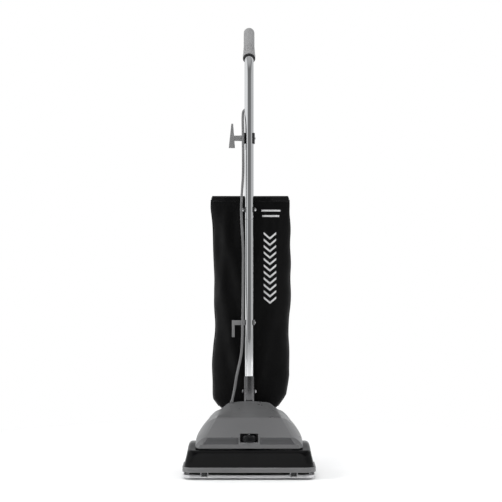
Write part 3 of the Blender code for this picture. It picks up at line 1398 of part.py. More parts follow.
def build_cord():
    """Supply cord: up the tube from the hood, over behind it, down behind the bag to the coil."""
    up = handle_matrix()
    hook = UPPER_HOOK_HEIGHT
    on_hood = [STRAIN_AT + Vector((0, 0, 0.0175))]
    on_handle = [
        (-0.0395, 0.028, 0.115),
        (-0.0340, 0.030, 0.150),
        (-0.0230, 0.031, 0.210),
        (-0.0195, 0.031, 0.260),
        (-0.0185, 0.031, 0.2965),
        (-0.0185, 0.031, 0.340),
        (-0.0200, 0.034, 0.420),
        (-0.0200, 0.036, 0.500),
        (-0.0220, 0.036, 0.606),
        (-0.0180, 0.034, hook - 0.1045),
        (-0.0170, 0.033, hook - 0.0345),
        (-0.0190, 0.034, hook + 0.0255),
        (-0.0205, 0.044, hook + 0.0575),
        (-0.0175, 0.064, hook + 0.0775),
        (-0.0080, 0.086, hook + 0.0795),
    ]
    fall = hook + 0.0155 - 0.160
    on_handle += [
        (0.0, behind, 0.160 + fall * share)
        for behind, share in (
            (0.130, 1.0),
            (0.152, 0.8788),
            (0.172, 0.7273),
            (0.192, 0.5455),
            (0.198, 0.3636),
            (0.198, 0.1818),
            (0.198, 0.0),
        )
    ]
    on_floor = [
        (0.000, FRONT + 0.445, 0.170),
        (0.004, FRONT + 0.470, 0.085),
        (0.020, FRONT + 0.515, 0.024),
        (0.050, FRONT + 0.575, 0.0055),
        (0.0775, FRONT + 0.650, 0.0050),
    ]
    last = COIL_X + COIL_MEAN_RADIUS + (COIL_RINGS / 2 + 0.5) * 2 * CORD_RADIUS + 0.0008
    on_floor.append((last, COIL_Y, 0.0050))
    route = on_hood + [up @ Vector(p) for p in on_handle] + [Vector(p) for p in on_floor]
    return tube_along("power_cord", smooth_line(route, 0.031), CORD_RADIUS, "cord_rubber", sides=2)


def build_coil_and_plug():
    """The unseen length as a neat coil on the floor behind the machine, its tie and the plug."""
    across = COIL_RINGS * CORD_RADIUS
    inner, outer = COIL_MEAN_RADIUS - across, COIL_MEAN_RADIUS + across
    tall = 2 * COIL_LAYERS * CORD_RADIUS
    low = COIL_LOW
    soft = 0.004
    profile = [
        (inner + soft, low + tall),
        (outer - soft, low + tall),
        (outer, low + tall - soft),
        (outer, low + soft),
        (outer - soft, low),
        (inner + soft, low),
        (inner, low + soft),
        (inner, low + tall - soft),
        (inner + soft, low + tall),
    ]
    coil = piece("cord_coil", turned(profile, (COIL_X, COIL_Y, 0), "Z", 32), "cord_rubber")

    tie = [
        (COIL_X, COIL_Y - r, z)
        for r, z in rounded_box(
            across + TIE_GAP + TIE_THICKNESS,
            tall / 2 + GAP + TIE_THICKNESS,
            0.004,
            3,
            (COIL_MEAN_RADIUS, low + tall / 2),
        )
    ]
    tie_band = prism([(y, z) for _, y, z in tie], -0.004, 0.004, "X")
    band = piece("coil_tie", tie_band, "black_fabric")
    hollow = rounded_box(across + TIE_GAP, tall / 2 + GAP, 0.003, 3, (COIL_MEAN_RADIUS, low + tall / 2))
    cut(band, "tie_cutter", prism([(COIL_Y - r, z) for r, z in hollow], -0.006, 0.006, "X"))

    profile = [
        (0, PLUG_LENGTH),
        (0.0080, PLUG_LENGTH),
        (0.0075, 0.020),
        (0.0048, 0.008),
        (0.0044, 0.0006),
        (0, 0.0006),
    ]
    out = Vector((cos(PLUG_TURN), sin(PLUG_TURN), 0))
    along = Vector((-sin(PLUG_TURN), cos(PLUG_TURN), 0))
    lay = Matrix((out, along.cross(out), along)).transposed().to_4x4()
    top = low + tall + 0.0082 + GAP
    lay = Matrix.Translation(Vector((COIL_X, COIL_Y, top)) + out * COIL_MEAN_RADIUS) @ lay
    moulding = turned(profile, (0, 0, 0), "Z", 16)
    bmesh.ops.transform(moulding, matrix=lay, verts=moulding.verts[:])
    body = piece("plug", moulding, "cord_rubber")
    for side in (-1, 1):
        start = min(side * 0.0038, side * 0.0052)
        pin = block((start, -0.0030, PLUG_LENGTH - 0.002), (start + 0.0014, 0.0030, PLUG_LENGTH + 0.016))
        bmesh.ops.transform(pin, matrix=lay, verts=pin.verts[:])
        join(body, f"pin_joiner_{side}", pin)
    return coil, band, body


def build_strain_relief():
    """Tapered rubber sleeve where the cord leaves the hood."""
    profile = [
        (0, 0.0155),
        (0.0042, 0.0155),
        (0.0056, -0.006),
        (0, -0.006),
    ]
    sleeve = piece("strain_relief", turned(profile, (0, 0, 0), "Z", 16), "belt_rubber")
    sleeve.location = STRAIN_AT
    return sleeve


def empty(name, at, parent=None):
    """A joint's axis point, which the pieces that move with it hang from."""
    holder = bpy.data.objects.new(name, None)
    holder.empty_display_size = 0.02
    PARTS.objects.link(holder)
    holder.location = at
    if parent:
        holder.parent = parent
    return holder


def main():
    build_nozzle_shell()
    build_bumper()
    build_bottom_plate()
    build_plate_latches()
    build_brush_roll()
    build_bristles()
    build_roll_bearings()
    build_belt()
    build_fan_housing()
    build_fan()
    build_motor()
    build_chassis()
    build_pivot_pins()
    build_rear_wheels()
    build_front_wheels()
    build_duct()
    build_pedal_and_switch()
    build_hood()
    build_knob()

    pivot = empty("handle_pivot", (0, PIVOT_Y, PIVOT_Z))
    pivot.rotation_euler.x = -HANDLE_LEAN
    build_fork(pivot)
    build_socket(pivot)
    build_tubes(pivot)
    build_grip(pivot)
    build_bolts(pivot)
    build_hooks(pivot)
    build_bag(pivot)
    build_neck()
    build_strain_relief()
    build_cord()
    build_coil_and_plug()


clear_scene()
FINISHES = make_materials()
PARTS = new_collection("upright_vacuum_cleaner")
CUTTERS = new_collection("cutters")
main()
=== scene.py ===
"""Looks of a commercial upright vacuum cleaner, built round its packed mechanical model."""

import json
import logging
from dataclasses import dataclass, field
from enum import Enum
from math import atan2, ceil, cos, exp, pi, radians, sin, sqrt

import bmesh
import bpy
from mathutils import Matrix, Vector, bvhtree, noise


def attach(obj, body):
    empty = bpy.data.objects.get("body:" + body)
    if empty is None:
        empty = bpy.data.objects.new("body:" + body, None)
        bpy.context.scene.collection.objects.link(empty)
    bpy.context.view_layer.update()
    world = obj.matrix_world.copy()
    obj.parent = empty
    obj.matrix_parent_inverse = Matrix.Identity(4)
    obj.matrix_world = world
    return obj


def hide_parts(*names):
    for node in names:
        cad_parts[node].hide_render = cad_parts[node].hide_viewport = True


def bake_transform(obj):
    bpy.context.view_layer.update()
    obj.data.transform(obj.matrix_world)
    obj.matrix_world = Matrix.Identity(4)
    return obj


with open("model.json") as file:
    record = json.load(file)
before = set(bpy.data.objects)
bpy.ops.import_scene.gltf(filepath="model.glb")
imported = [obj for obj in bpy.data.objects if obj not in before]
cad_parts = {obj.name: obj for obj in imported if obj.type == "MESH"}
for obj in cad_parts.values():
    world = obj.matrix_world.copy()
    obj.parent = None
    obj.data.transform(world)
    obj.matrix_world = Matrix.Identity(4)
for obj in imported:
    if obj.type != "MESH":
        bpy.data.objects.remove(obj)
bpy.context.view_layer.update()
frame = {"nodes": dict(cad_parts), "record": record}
LOG = logging.getLogger("vacuum_cleaner")

Profile = list[tuple[float, float]]
Row = list[Vector]
Triple = tuple[float, float, float]
Shape = bmesh.types.BMesh
Socket = bpy.types.NodeSocket

FRONT = -0.2484
GAP = 0.0003
PIVOT = Vector((0.0, -0.0164, 0.092))
HANDLE_LEAN = radians(4)
shift = Matrix.Translation
HANDLE = shift(PIVOT) @ Matrix.Rotation(-HANDLE_LEAN, 4, "X")
TUBE_BEHIND = 0.052
TUBE_RADIUS = 0.0127
CORD_RADIUS = 0.0035
RELIEF_AT = Vector((-0.047, FRONT + 0.258, 0.152))


def fixed(x: float, y: float, z: float) -> Vector:
    """A place as the default of a dataclass field."""
    return field(default_factory=lambda: Vector((x, y, z)))


class Part(Enum):
    """The moving bodies that visible pieces ride on."""

    BASE = "base"
    HANDLE = "handle"
    KNOB = "knob"
    ROLL = "roll"
    HOOK = "hook"
    LEFT_LATCH = "latch_l"
    RIGHT_LATCH = "latch_r"
    LEFT_REAR_WHEEL = "rear_wheel_l"
    RIGHT_REAR_WHEEL = "rear_wheel_r"
    LEFT_FRONT_WHEEL = "front_wheel_l"
    RIGHT_FRONT_WHEEL = "front_wheel_r"
    PEDAL = "pedal"
    SWITCH = "switch"


class Grain(Enum):
    """The kinds of fine surface a finish can carry."""

    SMOOTH = "polished"
    PEEL = "moulded orange peel"
    BRUSHED = "lengthwise brushing"
    PEBBLE = "pebbled rubber"
    WEAVE = "plain weave"
    CAST = "sand casting"


# ---- finishes ----
class Nodes:
    """Builds a node tree step by step."""

    def __init__(self, tree: bpy.types.NodeTree) -> None:
        """Starts on a tree."""
        self.tree = tree

    def node(self, kind: str, **settings: object) -> bpy.types.Node:
        """Adds a node and sets its properties and unlinked inputs.

        Args:
            kind: The node's type name.
            **settings: Properties by name, or inputs by name with spaces as underscores.

        Returns:
            The new node.
        """
        made = self.tree.nodes.new(kind)
        for key, value in settings.items():
            if hasattr(made, key) and key not in made.inputs:
                setattr(made, key, value)
            else:
                made.inputs[key.replace("_", " ")].default_value = value
        return made

    def link(self, source: Socket, target: Socket) -> None:
        """Joins two sockets."""
        self.tree.links.new(source, target)

    def maths(self, how: str, a: Socket, b: Socket | float) -> Socket:
        """One arithmetic step on two values."""
        made = self.node("ShaderNodeMath", operation=how)
        self.link(a, made.inputs[0])
        if isinstance(b, (int, float)):
            made.inputs[1].default_value = b
        else:
            self.link(b, made.inputs[1])
        return made.outputs[0]

    def shared(self, share: Socket, first: Socket, second: Socket, end: str) -> None:
        """Sends a share of two shaders to the surface of the output node called end."""
        mix = self.node("ShaderNodeMixShader")
        for source, target in ((share, mix.inputs["Fac"]), (first, mix.inputs[1]), (second, mix.inputs[2])):
            self.link(source, target)
        self.link(mix.outputs["Shader"], self.tree.nodes[end].inputs["Surface"])


class Shader(Nodes):
    """Builds one node material."""

    def __init__(self, name: str) -> None:
        """Starts a material with only its output and shader."""
        self.material = bpy.data.materials.new(name)
        self.material.use_nodes = True
        super().__init__(self.material.node_tree)
        self.shader = self.tree.nodes["Principled BSDF"]
        self.place = self.node("ShaderNodeTexCoord").outputs["Object"]

    def set(self, **values: float) -> None:
        """Sets plain values on the shader's sockets, with spaces written as underscores."""
        for key, value in values.items():
            self.shader.inputs[key.replace("_", " ")].default_value = value

    def scaled(self, stretch: Triple) -> Socket:
        """Object coordinates stretched along each axis."""
        mapping = self.node("ShaderNodeMapping")
        mapping.inputs["Scale"].default_value = stretch
        self.link(self.place, mapping.inputs["Vector"])
        return mapping.outputs["Vector"]

    def noise(self, scale: float, detail: float = 3.0, at: Socket | None = None) -> Socket:
        """A noise value from 0 to 1 at a scale in cycles per metre."""
        made = self.node("ShaderNodeTexNoise", Scale=scale, Detail=detail)
        self.link(at or self.place, made.inputs["Vector"])
        return made.outputs["Fac"]

    def spread(self, value: Socket, low: float, high: float, start: float = 0.3,
               end: float = 0.7) -> Socket:
        """Maps a value from start..end to low..high."""
        made = self.node("ShaderNodeMapRange", From_Min=start, From_Max=end, To_Min=low, To_Max=high)
        self.link(value, made.inputs["Value"])
        return made.outputs["Result"]

    def mixed(self, share: Socket, a: object, b: object) -> Socket:
        """A colour between two colours or sockets."""
        made = self.node("ShaderNodeMix", data_type="RGBA")
        self.link(share, made.inputs["Factor"])
        for socket, value in ((made.inputs[6], a), (made.inputs[7], b)):
            if isinstance(value, Socket):
                self.link(value, socket)
            else:
                socket.default_value = (*value, 1.0)
        return made.outputs[2]

    def bump(self, height: Socket, depth: float, before: Socket | None = None
             ) -> Socket:
        """A bumped normal of a depth in metres."""
        made = self.node("ShaderNodeBump", Strength=1.0, Distance=depth)
        self.link(height, made.inputs["Height"])
        if before:
            self.link(before, made.inputs["Normal"])
        return made.outputs["Normal"]


@dataclass(frozen=True)
class Finish:
    """One real surface: its colour, gloss and fine grain."""

    name: str
    slot: str
    colour: Triple
    rough: float
    metal: float = 0.0
    coat: float = 0.0
    sheen: float = 0.0
    grain: Grain = Grain.PEEL
    grain_size: float = 0.0012
    grain_depth: float = 0.00003
    mottle: float = 0.10
    dust: float = 0.0
    specular: float = 0.5

    def material(self) -> bpy.types.Material:
        """The node material, made once.

        Returns:
            The material of this finish.
        """
        known = bpy.data.materials.get(self.name)
        if known:
            return known
        made = Shader(self.name)
        self._colour(made)
        self._surface(made)
        return made.material

    def _colour(self, made: Shader) -> None:
        """Links the mottled base colour, with a little dust in scattered specks."""
        broad = made.spread(made.noise(9.0, 4.0), 0.0, 1.0)
        low = tuple(c * (1 - self.mottle) for c in self.colour)
        high = tuple(min(1.0, c * (1 + self.mottle)) for c in self.colour)
        colour = made.mixed(broad, low, high)
        if self.dust:
            specks = made.spread(made.noise(420.0, 6.0), 0.0, self.dust, 0.60, 0.78)
            colour = made.mixed(specks, colour, (0.35, 0.34, 0.32))
        if self.grain is Grain.WEAVE:
            shade = made.spread(self._weave(made), 0.55, 1.12, 0.0, 1.0)
            tint = made.node("ShaderNodeMix", data_type="RGBA", blend_type="MULTIPLY")
            tint.inputs["Factor"].default_value = 1.0
            grey = made.node("ShaderNodeCombineColor")
            for name in ("Red", "Green", "Blue"):
                made.link(shade, grey.inputs[name])
            made.link(colour, tint.inputs[6])
            made.link(grey.outputs["Color"], tint.inputs[7])
            colour = tint.outputs[2]
        made.link(colour, made.shader.inputs["Base Color"])

    def _weave(self, made: Shader) -> Socket:
        """Over-and-under threads from two crossed bands."""
        bands = []
        for way in ("X", "Z"):
            wave = made.node("ShaderNodeTexWave", bands_direction=way,
                             Scale=1.0 / (self.grain_size * 6.283),
                             Distortion=0.6, Detail_Scale=3.0)
            made.link(made.place, wave.inputs["Vector"])
            bands.append(wave.outputs["Fac"])
        return made.maths("MULTIPLY", bands[0], bands[1])

    def _surface(self, made: Shader) -> None:
        """Links the roughness and the bump, and sets the plain values."""
        shader = made.shader
        made.set(Metallic=self.metal, Specular_IOR_Level=self.specular, Coat_Weight=self.coat,
                 Coat_Roughness=0.06, Sheen_Weight=self.sheen, Sheen_Roughness=0.45)
        smudge = made.spread(made.noise(26.0, 5.0), self.rough * 0.82, min(1.0, self.rough * 1.22))
        made.link(smudge, shader.inputs["Roughness"])
        if self.grain is Grain.SMOOTH:
            return
        scale = 1.0 / self.grain_size
        if self.grain is Grain.BRUSHED:
            height = made.noise(scale, 4.0, made.scaled((1.0, 1.0, 0.02)))
        elif self.grain is Grain.PEBBLE:
            cells = made.node("ShaderNodeTexVoronoi", Scale=scale)
            made.link(made.place, cells.inputs["Vector"])
            height = cells.outputs["Distance"]
        elif self.grain is Grain.WEAVE:
            height = self._weave(made)
        elif self.grain is Grain.CAST:
            height = made.noise(scale, 8.0)
        else:
            height = made.noise(scale, 2.0)
        normal = made.bump(height, self.grain_depth)
        broad = made.noise(45.0, 2.0)
        made.link(made.bump(broad, self.grain_depth * 2.0, normal), shader.inputs["Normal"])


class Finishes:
    """Every finish on the machine."""

    BLACK_GLOSS = Finish("polished_black_moulding", "black_gloss", (0.0024, 0.0024, 0.0026), 0.20,
                         specular=0.14,
                         grain_depth=0.000005)
    HOOD = Finish("grey_gloss_moulding", "grey_hood", (0.100, 0.100, 0.102), 0.32, specular=0.85,
                  mottle=0.02, grain=Grain.SMOOTH)
    DIAL = Finish("polished_black_dial", "black_gloss", (0.004, 0.004, 0.0045), 0.18, coat=0.08,
                  specular=0.18,
                  grain_depth=0.000005)
    # painted shade: a darker grey laid over the recessed band under the hood's face
    SHADED_BAND = Finish("shaded_band_grey", "grey_hood", (0.050, 0.050, 0.052), 0.40, mottle=0.02,
                  grain_depth=0.000005)
    BUMPER = Finish("grey_guard_rubber", "grey_rubber", (0.155, 0.155, 0.157), 0.55, grain=Grain.PEBBLE,
                    grain_size=0.0009, dust=0.10)
    GRIP = Finish("grey_grip_rubber", "grey_rubber", (0.215, 0.215, 0.217), 0.62, grain=Grain.CAST,
                  grain_size=0.0016, grain_depth=0.000005,
                  mottle=0.03, specular=0.3)
    GREY_PLASTIC = Finish("grey_hook_moulding", "grey_plastic", (0.17, 0.17, 0.172), 0.45, dust=0.02,
                          mottle=0.04,
                          grain_depth=0.000006)
    BLACK_PLASTIC = Finish("matt_black_moulding", "black_plastic", (0.016, 0.016, 0.017), 0.46,
                           grain=Grain.CAST, grain_size=0.0010, dust=0.05)
    CHROME = Finish("bright_chrome", "chrome", (0.72, 0.725, 0.73), 0.07, metal=1.0, grain=Grain.SMOOTH,
                    mottle=0.02)
    SATIN = Finish("satin_plated_steel", "satin_steel", (0.15, 0.15, 0.153), 0.22, metal=1.0,
                   grain=Grain.BRUSHED, grain_size=0.0005, grain_depth=0.000003, mottle=0.05)
    STEEL = Finish("rolled_bright_steel", "bright_steel", (0.66, 0.66, 0.67), 0.38, metal=1.0,
                   grain=Grain.BRUSHED, grain_size=0.0005, grain_depth=0.00001, mottle=0.05)
    CASTING = Finish("cast_alloy", "cast_aluminium", (0.50, 0.50, 0.51), 0.46, metal=1.0, grain=Grain.CAST,
                     grain_size=0.0014, grain_depth=0.00008)
    COPPER = Finish("wound_copper", "copper", (0.70, 0.36, 0.20), 0.34, metal=1.0, grain=Grain.BRUSHED,
                    grain_size=0.0008)
    CARBON = Finish("pressed_carbon", "carbon", (0.030, 0.030, 0.032), 0.60, grain=Grain.CAST)
    BLACK_RUBBER = Finish("black_rubber", "belt_rubber", (0.014, 0.014, 0.015), 0.62, grain=Grain.PEBBLE,
                          dust=0.06)
    CLOTH = Finish("woven_black_cloth", "black_fabric", (0.0032, 0.0032, 0.0034), 0.56, sheen=0.02,
                   specular=0.10, grain=Grain.WEAVE, grain_size=0.0012, grain_depth=0.00012, mottle=0.14,
                   dust=0.02)
    TAPE = Finish("woven_black_tape", "black_fabric", (0.006, 0.006, 0.0064), 0.70, sheen=0.05,
                  specular=0.15, grain=Grain.WEAVE, grain_size=0.0008, grain_depth=0.0001)
    PRINT = Finish("white_print", "black_fabric", (0.84, 0.84, 0.85), 0.55, grain=Grain.WEAVE,
                   grain_size=0.0012, grain_depth=0.00008)
    TUFT = Finish("black_filament", "bristle", (0.006, 0.006, 0.0065), 0.80, specular=0.1,
                  grain=Grain.BRUSHED, grain_size=0.0006, grain_depth=0.00005)
    CORD = Finish("grey_cord_sheath", "cord_rubber", (0.13, 0.13, 0.132), 0.48, grain=Grain.CAST,
                  grain_size=0.0022, grain_depth=0.00001, dust=0.02)


# ---- modelling ----
def rounded(profile: Profile, radius: float, steps: int = 3) -> Profile:
    """Rounds the inner corners of an open profile.

    Args:
        profile: Points of (radius, height).
        radius: Greatest corner radius.
        steps: Segments in each corner.

    Returns:
        The profile with each corner replaced by a short curve.
    """
    line = [Vector(p) for p in profile]
    out = [line[0]]
    for before, here, after in zip(line, line[1:], line[2:]):
        a, b = before - here, after - here
        reach = min(radius, a.length * 0.45, b.length * 0.45)
        if reach < 1e-6 or abs(a.normalized().dot(b.normalized())) > 0.999:
            out.append(here)
            continue
        start, end = here + a.normalized() * reach, here + b.normalized() * reach
        for k in range(steps + 1):
            t = k / steps
            out.append(start * (1 - t) ** 2 + here * 2 * t * (1 - t) + end * t**2)
    out.append(line[-1])
    return [(p.x, p.y) for p in out]


def spun(profile: Profile, steps: int = 72, closed: bool = False) -> Shape:
    """A turned body about Z from (radius, height) points."""
    bm = bmesh.new()
    points = profile + ([profile[0]] if closed else [])
    verts = [bm.verts.new((r, 0.0, z)) for r, z in points]
    edges = [bm.edges.new(pair) for pair in zip(verts, verts[1:])]
    bmesh.ops.spin(bm, geom=verts + edges, cent=(0, 0, 0), axis=(0, 0, 1), angle=2 * pi, steps=steps,
                   use_merge=True, use_duplicate=False)
    bmesh.ops.remove_doubles(bm, verts=bm.verts[:], dist=2e-6)
    bmesh.ops.recalc_face_normals(bm, faces=bm.faces[:])
    return bm


def mirrored(profile: Profile) -> Profile:
    """A profile followed by its mirror image across height 0."""
    return profile + [(r, -z) for r, z in reversed(profile)]


def across(right: Profile, top: float, y: float) -> Row:
    """A cross row at a depth, from its right half of (x, z) points and the height in its middle."""
    return [Vector((x, y, z)) for x, z in right + [(0.0, top)] + [(-x, z) for x, z in reversed(right)]]


def slab(outline: Profile, low: float, high: float, axis: str = "Z") -> Shape:
    """A flat plate with the given outline, extruded along an axis.

    Args:
        outline: Points in the plane across the axis: (x, y), (x, z) or (y, z).
        low: Start of the plate along the axis.
        high: End of the plate along the axis.
        axis: "X", "Y" or "Z".

    Returns:
        The closed plate.
    """
    places = {"Z": lambda p: (p[0], p[1], low), "Y": lambda p: (p[0], low, p[1]), "X": lambda p: (low, p[0],
                                                                                                  p[1])}
    push = {"Z": (0, 0, high - low), "Y": (0, high - low, 0), "X": (high - low, 0, 0)}[axis]
    bm = bmesh.new()
    face = bm.faces.new([bm.verts.new(places[axis](p)) for p in outline])
    grown = bmesh.ops.extrude_face_region(bm, geom=[face])["geom"]
    bmesh.ops.translate(bm, vec=push, verts=[v for v in grown if isinstance(v, bmesh.types.BMVert)])
    bmesh.ops.recalc_face_normals(bm, faces=bm.faces[:])
    return bm


def block(low: Triple, high: Triple) -> Shape:
    """A box between two corners."""
    bm = bmesh.new()
    bmesh.ops.create_cube(bm, size=1.0)
    size = Vector(high) - Vector(low)
    bmesh.ops.scale(bm, vec=size, verts=bm.verts[:])
    bmesh.ops.translate(bm, vec=(Vector(high) + Vector(low)) / 2, verts=bm.verts[:])
    return bm


def lofted(rows: list[Row], ring: bool = False, cap_start: bool = False, cap_end: bool = False) -> Shape:
    """A skin through rows of matching points, extruded from row to row.

    Args:
        rows: Rows with the same number of points.
        ring: Whether each row closes on itself.
        cap_start: Whether the first row is filled.
        cap_end: Whether the last row is filled.

    Returns:
        The skin, with its faces outwards.
    """
    bm = bmesh.new()
    here = [bm.verts.new(p) for p in rows[0]]
    pairs = list(zip(here, here[1:])) + ([(here[-1], here[0])] if ring else [])
    edges = [bm.edges.new(pair) for pair in pairs]
    if cap_start:
        bm.faces.new(here)
    for row in rows[1:]:
        grown = bmesh.ops.extrude_edge_only(bm, edges=edges)["geom"]
        fresh = {v for v in grown if isinstance(v, bmesh.types.BMVert)}
        edges = [e for e in grown
                 if isinstance(e, bmesh.types.BMEdge) and e.verts[0] in fresh and e.verts[1] in fresh]
        following = [next(e.other_vert(v) for e in v.link_edges if e.other_vert(v) in fresh) for v in here]
        for vert, place in zip(following, row):
            vert.co = place
        here = following
    if cap_end:
        bm.faces.new(here)
    bmesh.ops.recalc_face_normals(bm, faces=bm.faces[:])
    return bm


def softened(bm: Shape, width: float, angle: float = 32.0, segments: int = 2) -> Shape:
    """Rounds the edges between two faces that turn by more than an angle in degrees."""
    limit = radians(angle)
    sharp = [e for e in bm.edges if len(e.link_faces) == 2 and e.calc_face_angle(0.0) > limit]
    bmesh.ops.bevel(bm, geom=sharp, offset=width, affect="EDGES", segments=segments, profile=0.5,
                    material=-1,
                    clamp_overlap=True)
    return bm


def moved(bm: Shape, matrix: Matrix) -> Shape:
    """Places a shape by a matrix."""
    bmesh.ops.transform(bm, matrix=matrix, verts=bm.verts[:])
    if matrix.determinant() < 0:
        bmesh.ops.recalc_face_normals(bm, faces=bm.faces[:])
    return bm


def mesh_of(name: str, bm: Shape) -> bpy.types.Mesh:
    """A new mesh from a bmesh, which is freed."""
    mesh = bpy.data.meshes.new(name)
    bm.to_mesh(mesh)
    bm.free()
    return mesh


def joined(*shapes: Shape) -> Shape:
    """Several shapes as one mesh."""
    whole = bmesh.new()
    for shape in shapes:
        carrier = mesh_of("carrier", shape)
        whole.from_mesh(carrier)
        bpy.data.meshes.remove(carrier)
    return whole


def carved(bm: Shape, *tools: Shape, how: str = "DIFFERENCE", wall: float = 0.0
           ) -> Shape:
    """A shape with others cut from it or merged into it.

    Args:
        bm: The shape to change.
        *tools: Closed shapes.
        how: The Boolean operation.
        wall: Thickness to give an open shell, inwards, before the cuts.

    Returns:
        The result as a new bmesh.
    """
    base = placed("work", mesh_of("work", bm))
    made = [base]
    if wall:
        walled(base, wall)
    for shape in tools:
        tool = placed("tool", mesh_of("tool", shape))
        step = base.modifiers.new("Boolean", "BOOLEAN")
        step.object = tool
        step.operation = how
        step.solver = "EXACT"
        made.append(tool)
    bpy.context.view_layer.update()
    result = bmesh.new()
    result.from_object(base, bpy.context.evaluated_depsgraph_get())
    for thing in made:
        data = thing.data
        bpy.data.objects.remove(thing)
        bpy.data.meshes.remove(data)
    return result


def placed(name: str, data: bpy.types.ID) -> bpy.types.Object:
    """A new object in the scene."""
    thing = bpy.data.objects.new(name, data)
    bpy.context.scene.collection.objects.link(thing)
    return thing


def walled(thing: bpy.types.Object, thickness: float, offset: float = -1.0) -> None:
    """Gives a skin a wall, inwards unless the offset says otherwise."""
    wall = thing.modifiers.new("Wall", "SOLIDIFY")
    wall.thickness = thickness
    wall.offset = offset


def screw_head(crown: float, edge: Profile, dip: float, steps: int, *tools: Shape) -> Shape:
    """A domed screw head with its drive cut in.

    Args:
        crown: Height of its middle.
        edge: (radius, height) of the dome's rim and of the head's side.
        dip: Depth of the shank under height 0.
        steps: Faces round it.
        *tools: Shapes of the slot, cross or socket.

    Returns:
        The head, upright at the origin.
    """
    profile = [(0, crown), *edge, (edge[1][0], -dip), (0, -dip)]
    return carved(spun(rounded(profile, 0.0004), steps), *tools)


def axis_matrix(axis: str, at: Triple | Vector = (0, 0, 0)) -> Matrix:
    """A matrix that lays a Z-turned body along an axis at a place."""
    lay = {"X": Matrix.Rotation(pi / 2, 4, "Y"), "Y": Matrix.Rotation(-pi / 2, 4, "X"),
           "Z": Matrix.Identity(4)}[axis]
    return shift(Vector(at)) @ lay


def rod(start: Triple, radius: float, length: float, axis: str = "Z", steps: int = 40,
        soft: float = 0.0) -> Shape:
    """A round bar along an axis, with softened ends."""
    profile = rounded([(0, 0), (radius, 0), (radius, length), (0, length)], soft or 1e-5)
    return moved(spun(profile, steps), axis_matrix(axis, start))


def tube_mesh(points: Row, radius: float, sides: int = 4, closed: bool = False) -> bpy.types.Mesh:
    """A round tube that follows points, capped at its ends.

    Args:
        points: The centreline.
        radius: The tube's radius.
        sides: Bevel resolution, which gives 4 + 2 * sides faces round the tube.
        closed: Whether the line closes on itself.

    Returns:
        The tube's mesh.
    """
    curve = bpy.data.curves.new("line", "CURVE")
    curve.dimensions = "3D"
    curve.bevel_depth = radius
    curve.bevel_resolution = sides
    curve.use_fill_caps = not closed
    spline = curve.splines.new("POLY")
    spline.points.add(len(points) - 1)
    for place, point in zip(spline.points, points):
        place.co = (*point, 1.0)
    spline.use_cyclic_u = closed
    holder = placed("line", curve)
    bpy.context.view_layer.update()
    evaluated = holder.evaluated_get(bpy.context.evaluated_depsgraph_get())
    mesh = bpy.data.meshes.new_from_object(evaluated)
    bpy.data.objects.remove(holder)
    bpy.data.curves.remove(curve)
    return mesh


def tube(points: Row, radius: float, sides: int = 4, closed: bool = False) -> Shape:
    """The same tube as a bmesh, with its caps merged on."""
    mesh = tube_mesh(points, radius, sides, closed)
    bm = bmesh.new()
    bm.from_mesh(mesh)
    bpy.data.meshes.remove(mesh)
    bmesh.ops.remove_doubles(bm, verts=bm.verts[:], dist=1e-6)
    bmesh.ops.recalc_face_normals(bm, faces=bm.faces[:])
    return bm


def copied(node: str, width: float = 0.0006, angle: float = 30.0, segments: int = 2) -> Shape:
    """A cleaned copy of a CAD node with its hard edges rounded."""
    bm = bmesh.new()
    bm.from_mesh(frame["nodes"][node].data)
    bmesh.ops.remove_doubles(bm, verts=bm.verts[:], dist=1e-5)
    bmesh.ops.dissolve_limit(bm, angle_limit=radians(1.0), verts=bm.verts[:], edges=bm.edges[:])
    if width:
        softened(bm, width, angle, segments)
    return bm


def show(name: str, bm: Shape, finish: Finish, part: Part, stands_for: tuple[str, ...] = (),
         angle: float = 34.0) -> bpy.types.Object:
    """Turns a bmesh into a piece of the machine.

    Args:
        name: The piece's name.
        bm: Its shape in place, which is freed.
        finish: Its finish.
        part: The body it rides on.
        stands_for: CAD nodes that it replaces.
        angle: Edges sharper than this stay crisp.

    Returns:
        The new object.
    """
    return show_mesh(name, mesh_of(name, bm), finish, part, stands_for, angle)


def show_copy(name: str, node: str, finish: Finish, part: Part, *edges: float, angle: float = 34.0) -> None:
    """Shows a copy of one CAD node, with its edges rounded as copied says."""
    show(name, copied(node, *edges), finish, part, (node,), angle)


def show_mesh(name: str, mesh: bpy.types.Mesh, finish: Finish, part: Part | None,
              stands_for: tuple[str, ...] = (),
              angle: float = 34.0) -> bpy.types.Object:
    """Turns a mesh into a piece of the machine, as show does."""
    mesh.shade_smooth()
    mesh.set_sharp_from_angle(angle=radians(angle))
    mesh.materials.clear()
    mesh.materials.append(finish.material())
    thing = placed(name, mesh)
    if part:
        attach(thing, part.value)
    if stands_for:
        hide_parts(*stands_for)
    LOG.info("%s: %d faces", name, len(mesh.polygons))
    return thing


def smooth_line(points: Row, step: float) -> Row:
    """Evenly spaced points on the smooth curve through chosen ones."""
    line = [2 * points[0] - points[1], *points, 2 * points[-1] - points[-2]]
    fine = []
    for a, b, c, d in zip(line, line[1:], line[2:], line[3:]):
        for k in range(24):
            t = k / 24
            fine.append(0.5 * (2 * b + (c - a) * t + (2 * a - 5 * b + 4 * c - d) * t**2
                               + (3 * b - a - 3 * c + d) * t**3))
    fine.append(line[-2])
    lengths = [0.0]
    for p, q in zip(fine, fine[1:]):
        lengths.append(lengths[-1] + (q - p).length)
    count = ceil(lengths[-1] / step)
    even, i = [], 0
    for k in range(count + 1):
        wanted = lengths[-1] * k / count
        while i < len(fine) - 2 and lengths[i + 1] < wanted:
            i += 1
        share = (wanted - lengths[i]) / (lengths[i + 1] - lengths[i])
        even.append(fine[i].lerp(fine[i + 1], min(share, 1.0)))
    return even


